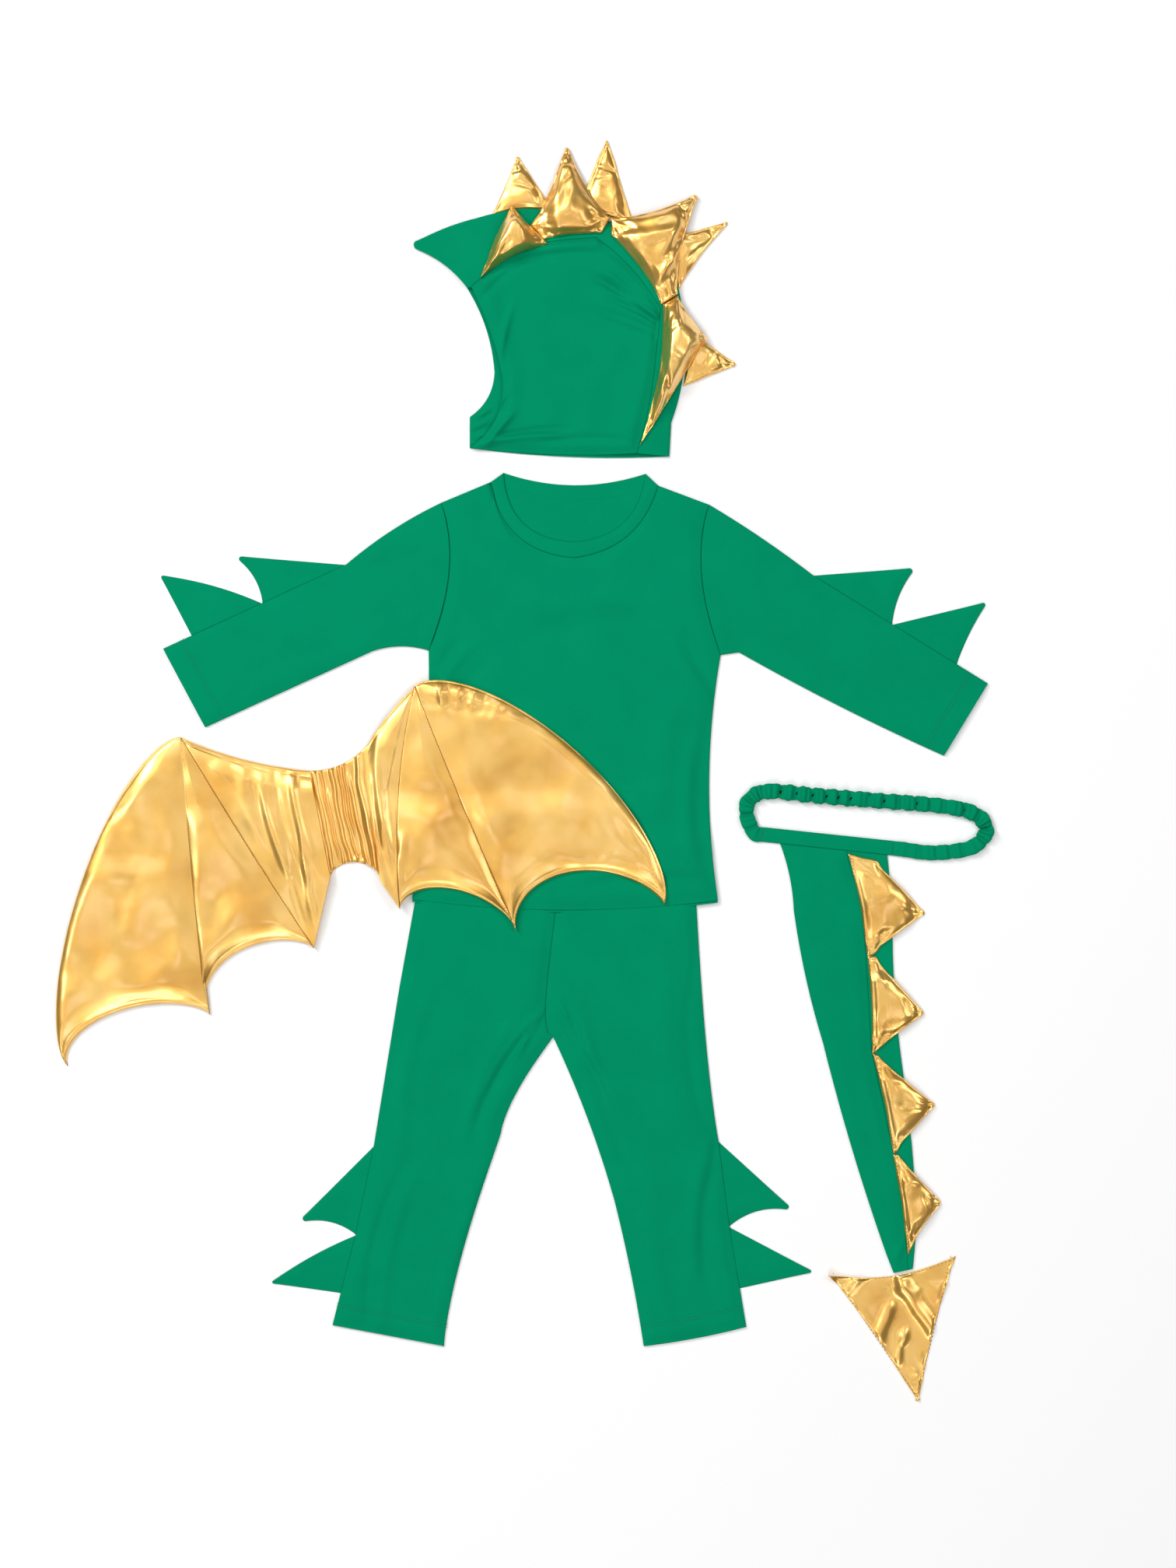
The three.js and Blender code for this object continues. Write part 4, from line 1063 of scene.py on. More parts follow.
def two_layers(points):
    """Vertices and faces of two flat layers over a grid, half a millimetre apart inside, that
    share the rim's vertices."""
    rows, columns = points.shape[:2]
    count = rows * columns
    upper = np.concatenate([points, np.full((rows, columns, 1), 0.25)], axis=-1)
    upper[[0, -1], :, 2] = 0
    upper[:, [0, -1], 2] = 0
    inner = upper[1:-1, 1:-1] * (1, 1, -1)
    lower_numbers = np.arange(count).reshape(rows, columns)
    lower_numbers[1:-1, 1:-1] = count + np.arange((rows - 2) * (columns - 2)).reshape(rows - 2, -1)
    quads = quads_of(rows, columns)
    lower_quads = lower_numbers.ravel()[quads[:, ::-1]]
    vertices = np.concatenate([upper.reshape(-1, 3), inner.reshape(-1, 3)])
    return vertices, np.concatenate([quads, lower_quads])


def blown_up(points):
    """The upper layer of a simulated cushion over a grid: x, y and height for each grid point."""
    vertices, faces = two_layers(points)
    mesh = bpy.data.meshes.new("simulated")
    mesh.from_pydata((vertices * MM).tolist(), [], faces.tolist())
    cushion = linked("simulated", mesh)
    cloth = cushion.modifiers.new("cloth", "CLOTH")
    settings = cloth.settings
    settings.quality = 6
    for name, value in SIM_CLOTH.items():
        setattr(settings, name, value)
    settings.use_pressure = True
    settings.uniform_pressure_force = PRESSURE
    settings.effector_weights.gravity = 0
    cloth.collision_settings.use_collision = False
    cloth.point_cache.frame_end = SIM_FRAMES
    for step in range(1, SIM_FRAMES + 1):
        bpy.context.scene.frame_set(step)
    shape = cushion.evaluated_get(bpy.context.evaluated_depsgraph_get())
    placed = np.empty(len(vertices) * 3)
    shape.data.vertices.foreach_get("co", placed)
    bpy.data.objects.remove(cushion)
    bpy.context.scene.frame_set(1)
    rows, columns = points.shape[:2]
    return placed.reshape(-1, 3)[: rows * columns].reshape(rows, columns, 3) / MM


def carried_back(points, simulated):
    """The simulated places after the flat stretch and turn (least squares over the rim) that bring
    the drawn-in rim onto the drawn one."""
    rim = rim_of(*points.shape[:2])
    moved = simulated[..., :2].reshape(-1, 2)
    known = np.column_stack([moved[rim], np.ones(len(rim))])
    best = np.linalg.lstsq(known, points.reshape(-1, 2)[rim], rcond=None)[0]
    back_again = (np.column_stack([moved, np.ones(len(moved))]) @ best).reshape(points.shape)
    return points + DRAWN_IN * (back_again - points)


# %% [markdown]
# Creases are listed for each point of foil. A row gives the crease's place as shares across
# and along the spike, its heading from the base's own direction, and its length, width and depth.

# %% Stuffed points
FOIL_STEP = 3.0
SEWN_SIDES = ("west", "east", "south")
PRESSURE = 14
FULL_RELIEF_HEIGHT = 26
MEAN_DENT = 1.6
PUCKER_SPACING = 13
SEED_STEP = 31


def placed_creases(row):
    """The rows of a spike's creases as places and headings on the layout."""
    start, end, tip = (np.array(row[key], float) for key in ("start", "end", "tip"))
    turn = np.degrees(np.arctan2(*(end - start)[::-1]))
    made = []
    for across, along, heading, length, width, depth in row["creases"]:
        x, y = start + (end - start) * (across * (1 - along) + 0.5 * along)
        x, y = np.array([x, y]) + (tip - (start + end) / 2) * along
        made.append((x, y, turn + heading, length, width, depth))
    return made


def knob(points, tip):
    """The hard little end of a turned point: a lump at the tip, and a pinch behind it."""
    out = np.linalg.norm(points - np.array(tip, float), axis=-1)
    return 1.6 * bell(out, 3.5, 2.2) - 1.1 * bell(out, 9, 1.8)


def stuffed(name, node, row, height, floor_of, seed):
    """A stuffed point: the simulated cushion at its full height, with its creases pressed in and a
    turned edge all round, lying on what is under it."""
    flat = spike_grid(row, FOIL_STEP)
    simulated = blown_up(flat)
    points = carried_back(flat, simulated)
    far = from_sides(flat)
    nearest = np.minimum.reduce([far["west"], far["east"], far["north"]])
    x, y = points[..., 0], points[..., 1]
    blown = np.maximum(simulated[..., 2], 0)
    rise = height * blown / blown.max()
    share = 0.8 + height / FULL_RELIEF_HEIGHT
    dents = 0.9 * crumple(x, y, 27, seed) + 2.2 * cloud(x, y, 17, seed + 1) - MEAN_DENT
    spacing = row.get("puckers", PUCKER_SPACING)
    seams = 1.5 * puckers(far, reach=9, spacing=spacing, seed=seed + 2, sides=SEWN_SIDES)
    marks = creases(points, placed_creases(row)) + knob(points, row["tip"])
    rise = rise + share * (marks + dents) * smooth(nearest, 0, 6)
    rise = rise + share * seams * rolled(nearest, 3) + 0.9 * edge_roll(nearest)
    rise = rise + 0.9 * edge_roll(far["south"]) * smooth(nearest, 0, 5)
    floor_height = floor_of(x, y)
    under = floor_height + 0.4 * (1 - rolled(nearest, 2))
    over = floor_height + CLOTH * (0.6 + 0.4 * rolled(nearest, 1.5)) + np.maximum(0, rise)
    spike = closed(name, points, over, under, crumpled_foil)
    finer = spike.modifiers.new("finer", "SUBSURF")
    finer.levels = 1
    finer.render_levels = 1
    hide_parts(node)
    print(name, "rose to", round(float(over.max()), 1), "mm from a blown height of", blown.max())
    return spike


def on_surface(x, y):
    """The height of the surface that everything lies on."""
    return np.zeros_like(x)


# %% [markdown]
# ## The hood
#
# The hood lies on its side. A lower side panel and an upper one are joined by a long gusset that
# runs over the crown and out into the beak. The seam of the upper side stands up in a soft ridge,
# and the spikes of the near row stand in it and lean out over the gusset, while those of the far
# row lie on the surface against the gusset's other edge.

# %% Hood edges
CREST = 3.4
RIDGE_WIDTH = 60
FACE_LIFT = 3.5
FACE_WIDTH = 30
BEAK = {"from": -112, "to": -60}
NEAR_SEAM = [
    (121, 346, 3), (142, 457), (147, 503, 6), (76, 582, 9, 0.6),
    (-32, 553), (-60, 527), (-65, 527, 5), (-120.5, 569.5),
]
OUTER_EDGE = [
    (156, 343), (158, 380, 4.5), (173, 470, 12, 0.6), (137, 577, 9, 0.35), (17, 612, 4.5, 0.4),
    (-60, 602, 2), (-117, 578.5),
]
FAR_FACE = [(-60, 602), (-65, 527, -6), (-35, 435, -7), (-62, 386), (-62, 352)]
NEAR_FACE = [(-60, 527, -4), (-26, 427, -12), (-62, 352)]
upper_edges = {
    "west": back(run(*NEAR_FACE)),
    "south": run((-62, 352, 4), (121, 346)),
    "east": run(*NEAR_SEAM[:3]),
    "north": back(run(*NEAR_SEAM[2:6])),
}
lower_edges = {
    "west": back(run(*FAR_FACE)),
    "south": run((-62, 352, 5), (156, 343)),
    "east": run(*OUTER_EDGE[:4]),
    "north": back(run(*OUTER_EDGE[3:6])),
}
# x, y, heading, length, width, depth
HOOD_FOLDS = [
    (118, 488, -22, 90, 6, -4.0), (120, 520, -40, 60, 5, -3.6), (112, 526, -36, 70, 3.24, 3.9),
    (106, 518, -36, 76, 3.24, -4.8), (126, 506, -30, 60, 2.88, 3.6), (122, 500, -28, 64, 2.7, -3.9),
    (30, 572, 10, 130, 5.4, 3.3), (20, 561, 8, 140, 4.5, -3.6), (-24, 540, 42, 70, 4.5, -3),
    (-30, 445, 82, 120, 4.05, 3.9), (-38, 384, 52, 60, 3.6, -3.9), (-30, 372, 50, 50, 3.6, 3.3),
    (0, 364, 4, 80, 3.24, 3.6), (6, 371, 6, 80, 2.7, -3), (66, 362, 0, 90, 4.5, -3),
    (80, 420, 70, 120, 14.4, 1.8),
]
CHIN_FOLDS = [
    (-50, 388, 36, 26, 2.6, 3.4), (-52, 377, 26, 26, 2.8, 4.2), (-51, 366, 12, 24, 2.4, 3.2),
    (-54, 357, 4, 18, 2.2, 3.0),
]

# %% Hood panels
FAR_SIDE_STEP = 2.8
NEAR_SIDE_STEP = 2.2
CROWN_STEP = 2.5
HOOD_SEAMS = ("north", "east")
lower_grid = grid(**lower_edges, step=FAR_SIDE_STEP)
hood_lower = back_panel("hood_far_side", lower_grid, 0, HOOD_SEAMS, CHIN_FOLDS)
as_jersey(hood_lower, "hood_side_lower", lower_grid)

upper_grid = grid(**upper_edges, step=NEAR_SIDE_STEP)
upper_far = from_sides(upper_grid)
from_seam = np.minimum(upper_far["north"], upper_far["east"])
upper_level = FRONT_LEVEL + CREST * (1 - smooth(from_seam, 0, RIDGE_WIDTH))
upper_level = upper_level + FACE_LIFT * (1 - smooth(upper_far["west"], 0, FACE_WIDTH))
hood_room = 0.9 * (upper_level - FRONT_LEVEL)
hood_upper = front_panel(
    "hood_near_side", upper_grid, upper_level, HOOD_SEAMS, seed=61, folds=HOOD_FOLDS, air=1.7,
    room=hood_room,
)
as_jersey(hood_upper, "hood_side_upper", upper_grid)

beak_end = run((-120.5, 569.5, -4.5, 0.5, ROUND), (-117, 578.5))
gusset_grid = grid(run(*NEAR_SEAM), run(*OUTER_EDGE), north=beak_end, step=CROWN_STEP)
gusset_far = from_sides(gusset_grid)
share_in = gusset_far["east"] / np.maximum(gusset_far["east"][:, :1], 1e-6)
beak = smooth(gusset_grid[..., 0], BEAK["from"], BEAK["to"])
gusset_soft = 1.2 * cloud(gusset_grid[..., 0], gusset_grid[..., 1], size=24, seed=71)
gusset_edge = rolled(gusset_far["east"], 2.5)
gusset_crest = (CREST * np.sin(share_in * np.pi / 2) + 0.5 * gusset_soft) * (0.4 + 0.6 * beak)
gusset_over = TWO_LAYERS * (0.5 + 0.5 * gusset_edge) + gusset_crest * gusset_edge
gusset_under = FRONT_LEVEL * beak * (0.6 + 0.4 * gusset_edge)
hood_gusset = closed("hood_crown_strip", gusset_grid, gusset_over, gusset_under, green_jersey)
as_jersey(hood_gusset, "hood_gusset", gusset_grid)

# %% Hood spikes
SEAM_TOP = TWO_LAYERS + CREST + 2 * GAP
HOOD_MIDDLE = (50, 470)
SINK = {"depth": 4, "from": 165, "to": 212}


def over_gusset(x, y):
    """The near row rests on the ridge, and sinks a little past the hood's outer edge."""
    out = np.hypot(x - HOOD_MIDDLE[0], y - HOOD_MIDDLE[1])
    return SEAM_TOP - SINK["depth"] * smooth(out, SINK["from"], SINK["to"])


# creases: across, along, heading, length, width, depth
NEAR_SPIKES = [
    {
        "start": (-50, 537), "end": (24, 574), "tip": (-16, 617), "base_bow": -5, "start_bow": -3,
        "height": 20,
        "creases": [
            (0.5, 0.74, 8, 18, 1.8, -1.8), (0.84, 0.16, 60, 26, 2.6, -2.6),
            (0.7, 0.3, 74, 30, 3.2, 1.8), (0.3, 0.25, 30, 30, 2.6, -1.6),
            (0.93, 0.05, 96, 16, 1.8, -2.4),
        ],
    },
    {
        "start": (20, 579), "start_shoulder": (5, 594), "end": (81, 586), "end_shoulder": (91, 602),
        "tip": (44, 682), "end_bow": 3, "height": 14,
        "creases": [
            (0.5, 0.8, -4, 20, 1.9, -2.2), (0.7, 0.68, 40, 22, 2.2, -1.8),
            (-0.05, 0.12, 66, 34, 2.6, -3.2), (0.1, 0.08, 84, 26, 2.2, -2.6),
            (0.24, 0.06, 96, 24, 2.4, 1.6), (1.0, 0.14, 118, 34, 2.6, -3.2),
            (0.86, 0.08, 100, 26, 2.2, -2.2), (0.55, 0.5, 80, 50, 5.0, 1.6),
            (0.3, 0.4, 60, 40, 4.0, -1.4),
        ],
    },
    {
        "start": (93, 583), "start_shoulder": (92, 602), "end": (146, 508.5),
        "end_shoulder": (165, 519.5), "tip": (187, 629), "base_bow": -3, "start_bow": 3,
        "end_bow": 2, "height": 15,
        "creases": [
            (0.45, 0.78, 12, 24, 1.9, -2.4), (0.6, 0.72, -14, 24, 2.4, -1.8),
            (0.96, 0.16, 116, 40, 2.6, -3.2), (0.86, 0.22, 108, 50, 3.4, 2.2),
            (1.04, 0.08, 140, 26, 2.2, -3.0), (0.9, 0.1, 96, 30, 2.4, -2.0),
            (0.0, 0.1, 60, 34, 2.6, -2.8), (0.12, 0.16, 70, 34, 3.0, 1.8),
            (0.86, 0.46, 112, 50, 2.6, -2.6), (0.96, 0.42, 114, 56, 2.4, 2.0),
            (0.4, 0.4, 70, 60, 6.0, 1.8),
        ],
    },
    {
        "start": (149, 507.5), "start_shoulder": (165, 518), "end": (124, 354),
        "end_shoulder": (151, 394), "tip": (197, 471), "base_bow": -4, "height": 20,
        "creases": [
            (0.08, 0.1, 100, 22, 2.0, -2.4), (0.16, 0.2, 128, 34, 2.4, -2.0),
            (0.7, 0.34, 18, 60, 2.4, -2.6), (0.74, 0.26, 14, 60, 2.6, 2.0),
            (0.86, 0.12, 10, 40, 2.2, -2.4), (0.78, 0.1, 52, 20, 2.2, -1.8),
            (0.64, 0.2, 60, 26, 3.0, -1.8), (0.4, 0.3, 76, 30, 3.2, 1.4),
        ],
    },
]
FAR_SPIKES = [
    {
        "start": (-37, 607.5), "end": (29, 612), "tip": (-10, 673), "base_bow": -2, "end_bow": -1,
        "creases": [
            (0.45, 0.72, 6, 18, 1.8, -2.6), (0.6, 0.46, -24, 24, 2.2, -2.0),
            (0.86, 0.2, 100, 24, 2.4, -2.4),
        ],
    },
    {
        "start": (56, 609), "end": (117, 593), "tip": (88, 691), "base_bow": -3, "start_bow": -3,
        "end_bow": -2,
        "creases": [
            (0.5, 0.62, -8, 24, 1.8, -2.6), (0.34, 0.52, 24, 18, 2.2, -1.8),
            (0.9, 0.16, 110, 28, 2.2, -2.6), (0.72, 0.2, 104, 30, 2.6, 1.8),
        ],
    },
    {
        "start": (137.5, 577.5), "end": (166, 525), "tip": (222, 600), "base_bow": -3,
        "start_bow": -1, "end_bow": 2,
        "creases": [
            (0.5, 0.72, 4, 20, 1.8, -2.4), (0.3, 0.5, 60, 24, 2.4, -2.0),
            (0.7, 0.42, 104, 30, 2.4, -2.2),
        ],
    },
    {
        "start": (174, 485), "end": (171, 420), "tip": (231, 443), "base_bow": -2, "end_bow": -1,
        "creases": [
            (0.6, 0.7, 20, 18, 1.8, -2.4), (0.4, 0.5, -30, 22, 2.2, -2.0),
            (0.8, 0.3, 96, 22, 2.2, -2.2),
        ],
    },
]
FAR_SPIKE_RISE = 5.5
for k, row in enumerate(NEAR_SPIKES):
    node = f"hood_spike_upper_{k + 1}"
    stuffed(f"near_{node}", node, row, row["height"], over_gusset, 400 + SEED_STEP * k)
for k, row in enumerate(FAR_SPIKES):
    node = f"hood_spike_lower_{k + 1}"
    stuffed(f"far_{node}", node, row, FAR_SPIKE_RISE, on_surface, 560 + SEED_STEP * k)

# %% [markdown]
# ## The tail
#
# A narrow green tube of a back and a front in two parts. The front's seam holds four spikes that
# lie over its right side, and the arrow is sewn to the tail's narrow end. The belt is a plain
# stretch that carries the tail, and a casing gathered over elastic.

# %% Tail panels
TAB_SLOPE = -15 / 142
BELT_HALF = 8
TAIL_STEP = 3.0


def tab_edge(x):
    """The y of the lower edge of the belt's plain stretch."""
    return -70 + TAB_SLOPE * (x - 258) - BELT_HALF * np.hypot(1, TAB_SLOPE)


tail_left = run((277, tab_edge(277), -3), (292, -153, 3), (324, -298, 3), (394, -531), (401, -549))
tail_seam = run((350, tab_edge(350), 2.5), (367, -135), (377, -304), (412, -468), (417, -545.8))
tail_right = back(
    run((422, -544.6), (426, -500, 2.5), (412, -335, -2), (400, -199, 1.5), (394, tab_edge(394)))
)
tail_back_grid = grid(tail_left, tail_right, step=TAIL_STEP)
tail_left_grid = grid(tail_left, tail_seam, step=TAIL_STEP)
tail_right_grid = grid(tail_seam, tail_right, step=TAIL_STEP)
TAIL_FOLDS = [
    (310, -130, 100, 90, 10.8, 0.96), (330, -240, 104, 150, 12.6, 0.8),
    (366, -380, 108, 160, 9, -0.8), (404, -530, 60, 40, 4.5, 1.44),
]
tail_under = back_panel("tail_under", tail_back_grid, 0, DOWN_SIDES)
tail_left_front = front_panel(
    "tail_upper_left", tail_left_grid, FRONT_LEVEL, DOWN_SIDES, seed=81, folds=TAIL_FOLDS
)
tail_right_front = front_panel(
    "tail_upper_right", tail_right_grid, FRONT_LEVEL, DOWN_SIDES, seed=83, air=0
)
as_jersey(tail_under, "tail_back", tail_back_grid)
as_jersey(tail_left_front, "tail_front_left", tail_left_grid)
as_jersey(tail_right_front, "tail_front_right", tail_right_grid)

# %% Tail spikes and arrow
TAIL_SPIKES = [
    {
        "start": (351, -91), "start_shoulder": (384, -98), "tip": (436, -156),
        "end_shoulder": (381, -200), "end": (372, -202),
        "creases": [
            (0.08, 0.2, 50, 40, 3.0, -1.6), (0.3, 0.4, 96, 40, 5.0, 1.2),
            (0.86, 0.2, 100, 34, 2.4, -2.4), (0.94, 0.1, 84, 30, 2.0, 1.8),
            (0.5, 0.8, 10, 18, 2.0, -1.4),
        ],
    },
    {
        "start": (372, -203), "start_shoulder": (382, -203), "tip": (435, -265),
        "end_shoulder": (382, -308), "end": (377, -309),
        "creases": [
            (0.06, 0.16, 92, 36, 2.2, -2.6), (0.16, 0.2, 84, 34, 2.4, 1.8),
            (0.88, 0.2, 98, 34, 2.4, -2.4), (0.95, 0.1, 84, 28, 2.0, 1.8),
            (0.44, 0.7, 20, 22, 2.2, -1.4),
        ],
    },
    {
        "start": (378, -310), "start_shoulder": (384, -311), "tip": (447, -365),
        "end_shoulder": (405, -416), "end": (400, -418),
        "creases": [
            (0.06, 0.14, 88, 36, 2.2, -2.6), (0.18, 0.24, 78, 40, 2.6, 1.8),
            (0.9, 0.16, 100, 30, 2.2, -2.4), (0.6, 0.6, 70, 40, 3.0, -1.2),
        ],
    },
    {
        "start": (400, -419), "start_shoulder": (406, -419), "tip": (453, -472),
        "end_shoulder": (430, -505), "end": (416, -529),
        "creases": [
            (0.08, 0.14, 86, 30, 2.2, -2.6), (0.2, 0.24, 78, 34, 2.6, 1.8),
            (0.82, 0.14, 30, 40, 2.4, -2.2), (0.5, 0.66, 16, 20, 2.0, -1.4),
        ],
    },
]
PAST_EDGE = {"from": 14, "to": 34}
TAIL_EDGE = np.array([[394, -92.4], [400, -199], [412, -335], [426, -500], [422, -544.6]])


def over_tail(x, y):
    """A tail spike rests on the tail, and sinks to the surface past the tail's right edge."""
    edge = np.interp(-y, -TAIL_EDGE[:, 1], TAIL_EDGE[:, 0])
    return STEPPED * (1 - smooth(x - edge, PAST_EDGE["from"], PAST_EDGE["to"]))


TAIL_SPIKE_RISE = 5.5
ARROW_RISE = 8
for k, row in enumerate(TAIL_SPIKES):
    node = f"tail_spike_{k + 1}"
    stuffed(f"sewn_{node}", node, row, TAIL_SPIKE_RISE, over_tail, 700 + SEED_STEP * k)

ARROW = {
    "puckers": 9, "start": (331, -549), "end": (467, -530), "tip": (428, -691), "base_bow": 10.2,
    "start_bow": 1, "end_bow": 1,
    "creases": [
        (0.66, 0.3, 116, 140, 8.0, 4.4), (0.50, 0.3, 112, 130, 7.0, -3.2),
        (0.84, 0.3, 112, 110, 4.0, -3.2), (0.34, 0.34, 60, 80, 6.0, 3.0),
        (0.24, 0.16, 52, 66, 5.0, -2.8), (0.13, 0.1, 40, 50, 4.0, 2.6),
        (0.42, 0.56, 66, 60, 4.0, 2.4), (0.56, 0.7, 120, 40, 3.4, -2.2),
        (0.5, 0.82, 10, 24, 2.4, -2.4), (0.5, 0.03, 84, 40, 2.8, -3.2),
        (0.44, 0.04, 104, 34, 2.6, 2.4), (0.7, 0.04, 76, 36, 3.0, -2.2),
        (0.92, 0.06, 110, 60, 3.4, -2.4),
    ],
}
arrow = stuffed("tail_end_arrow", "tail_arrow", ARROW, ARROW_RISE, on_surface, 860)
print(arrow.name, "has", len(arrow.data.polygons), "faces")

# %% [markdown]
# ## The belt
#
# The casing is a tube that follows a closed loop from one end of the plain stretch to the other.
# It is gathered over its elastic, so its height and its edges wave at every gather, and the wave's
# spacing wanders as it does when cloth is pushed along elastic by hand.

# %% Belt tab
TAB_HEIGHT = 3.0
tab_reach = BELT_HALF / np.hypot(1, TAB_SLOPE)


def tab_corner(x, y, side):
    """A corner of the plain stretch: square to its slope, half its width away."""
    return (x - side * tab_reach * TAB_SLOPE, y + side * tab_reach)


tab_west, tab_east = (
    run(tab_corner(258, -70, side), tab_corner(400, -85, side)) for side in (-1, 1)
)
tab_grid = grid(tab_west, tab_east, step=TAIL_STEP)
belt_tab = pressed_tube("belt_plain_stretch", tab_grid, TAB_HEIGHT / 2, air=0.2, seed=91)
as_jersey(belt_tab, "belt_tab", tab_grid, layers=2)

# %% Gathered belt
# x, y, how strongly it is gathered there
BELT = np.array(
    [
        (400.3, -85.03, 0), (410, -86.06, 0.2), (445, -90, 0.3), (486, -84, 0.5), (502, -66, 0.8),
        (490, -48, 0.8), (454, -39, 0.6), (395, -34, 1), (320, -28, 1), (264, -23, 1),
        (243, -33, 0.8), (241, -51, 0.5), (249, -68.35, 0.2), (257.4, -69.94, 0),
    ]
)
RUCHES = 26
RUCHE_WANDER = 11
CLOSER_PITCH = 0.43
STEPS_PER_RUCHE = 20
SECTION_POINTS = 28


def spline(stations, count):
    """Points on a smooth curve through the stations: on each stretch, the cubic whose slopes at its
    ends are half the difference of the stations on either side."""
    padded_rows = np.concatenate([stations[:1], stations, stations[-1:]])
    place = np.linspace(0, len(stations) - 1 - 1e-9, count)
    k = place.astype(int)
    t = (place - k)[:, None]
    a, b, c, d = (padded_rows[k + n] for n in range(4))
    slope_b, slope_c = (c - a) / 2, (d - b) / 2
    return (
        (2 * t**3 - 3 * t**2 + 1) * b
        + (t**3 - 2 * t**2 + t) * slope_b
        + (-2 * t**3 + 3 * t**2) * c
        + (t**3 - t**2) * slope_c
    )


stations = spline(BELT, RUCHES * STEPS_PER_RUCHE)
travel = np.gradient(stations[:, :2], axis=0)
travel /= np.linalg.norm(travel, axis=1)[:, None]
distance = np.cumsum(np.linalg.norm(np.diff(stations[:, :2], axis=0, prepend=0), axis=1))
distance -= distance[0]
strength = np.clip(stations[:, 2], 0, 1)
angle = np.linspace(0, 2 * np.pi, SECTION_POINTS, endpoint=False)
# A flattened loop: the cosine and sine of the angle, each drawn out towards a rounded box
flat_x = np.sign(np.cos(angle)) * np.abs(np.cos(angle)) ** 0.55
flat_z = np.sign(np.sin(angle)) * np.abs(np.sin(angle)) ** 0.7
along = distance[:, None] + 0 * angle[None]
around = angle[None] + 0 * distance[:, None]
wander = RUCHE_WANDER * (cloud(along, around * 9, size=24, seed=95) - 0.5)
pitch = distance[-1] / RUCHES
tuck = np.abs(np.sin(np.pi * (along + wander) / pitch)) ** 0.7
closer = np.pi * (along + 0.6 * wander) / (pitch * CLOSER_PITCH) + 0.5 * np.sin(around)
pinch = np.abs(np.sin(closer)) ** 0.8
amount = 0.5 + 0.9 * cloud(along, 0 * along, size=27, seed=96)
gathered = strength[:, None] * amount * (2.6 * (tuck - 0.65) + 1.2 * (pinch - 0.65))
full = 1.5 + 1.9 * np.minimum(1, 2 * strength)[:, None]


def belt_ring(inset):
    """The belt's outer skin, or its inner one at inset mm within it."""
    half_width = BELT_HALF - inset + 0.9 * gathered * np.abs(flat_x)
    half_height = np.maximum(0.15, full - inset + 2.6 * gathered)
    out = half_width * flat_x
    x = stations[:, :1] + travel[:, 1:] * out
    y = stations[:, 1:2] - travel[:, :1] * out
    z = full + half_height * flat_z
    return np.stack([x, y, np.maximum(z, inset)], axis=-1)


belt = tube("belt_gathered", belt_ring(0), belt_ring(CLOTH), green_jersey)
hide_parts("belt_elastic")


# %% [markdown]
# ## Stitches
#
# A stitch is a short capsule of thread with a few faces. One array of stitches is laid along each
# seam: its length and spacing are those of a sewing machine, and each stitch lies on the cloth's
# height at its place.


# %% Stitch rows
def stitch_row(name, path, height_of, material, length=2.4, pitch=3.3, radius=0.28):
    """Capsules along a path: a unit capsule of four rings of six points, carried to each station,
    along the path's travel there."""
    count = max(2, int(length_of(path) / pitch))
    middle = (np.arange(count) + 0.5) / count
    centre = path(middle)
    ahead = path(np.clip(middle + 0.004, 0, 1)) - path(np.clip(middle - 0.004, 0, 1))
    ahead /= np.linalg.norm(ahead, axis=1)[:, None]
    ring = np.linspace(0, 2 * np.pi, 6, endpoint=False)
    along = np.array([-0.5, -0.3, 0.3, 0.5])[:, None] * length + 0 * ring
    thick = np.array([0.25, 1.0, 1.0, 0.25])[:, None] * radius
    sideways = thick * np.cos(ring)
    upward = thick * np.sin(ring) + np.array([-0.3, 0, 0, -0.3])[:, None] * radius
    (x, y), (ahead_x, ahead_y) = centre.T[..., None, None], ahead.T[..., None, None]
    x = x + ahead_x * along - ahead_y * sideways
    y = y + ahead_y * along + ahead_x * sideways
    z = height_of(centre)[:, None, None] + upward + 0 * x
    vertices = np.stack([x, y, z], axis=-1).reshape(-1, 3)
    numbers = np.arange(24).reshape(4, 6)
    after = np.roll(numbers, -1, axis=1)
    walls = np.stack([numbers[:-1], after[:-1], after[1:], numbers[1:]], axis=-1).reshape(-1, 4)
    start_cap = np.array([[0, 5, 4, 1], [1, 4, 3, 2]])
    end_cap = np.array([[18, 19, 22, 23], [19, 20, 21, 22]])
    cell = np.concatenate([walls, start_cap, end_cap])
    faces = (cell[None] + 24 * np.arange(count)[:, None, None]).reshape(-1, 4)
    mesh_object(name, vertices, faces, material)
    print(name, "has", count, "stitches")


def beside(side, distance):
    """An edge moved distance mm to the left of its travel."""

    def moved(t):
        t = np.asarray(t, float)
        ahead = side(np.clip(t + 0.01, 0, 1)) - side(np.clip(t - 0.01, 0, 1))
        ahead /= np.linalg.norm(ahead, axis=-1)[..., None]
        return side(t) + distance * np.stack([-ahead[..., 1], ahead[..., 0]], axis=-1)

    moved.joins = side.joins
    return moved


# %% [markdown]
# The height under a stitch is that of the cloth's own mesh: a ray straight down from above meets
# it, so stitches follow every swell and fold that the panels were given.


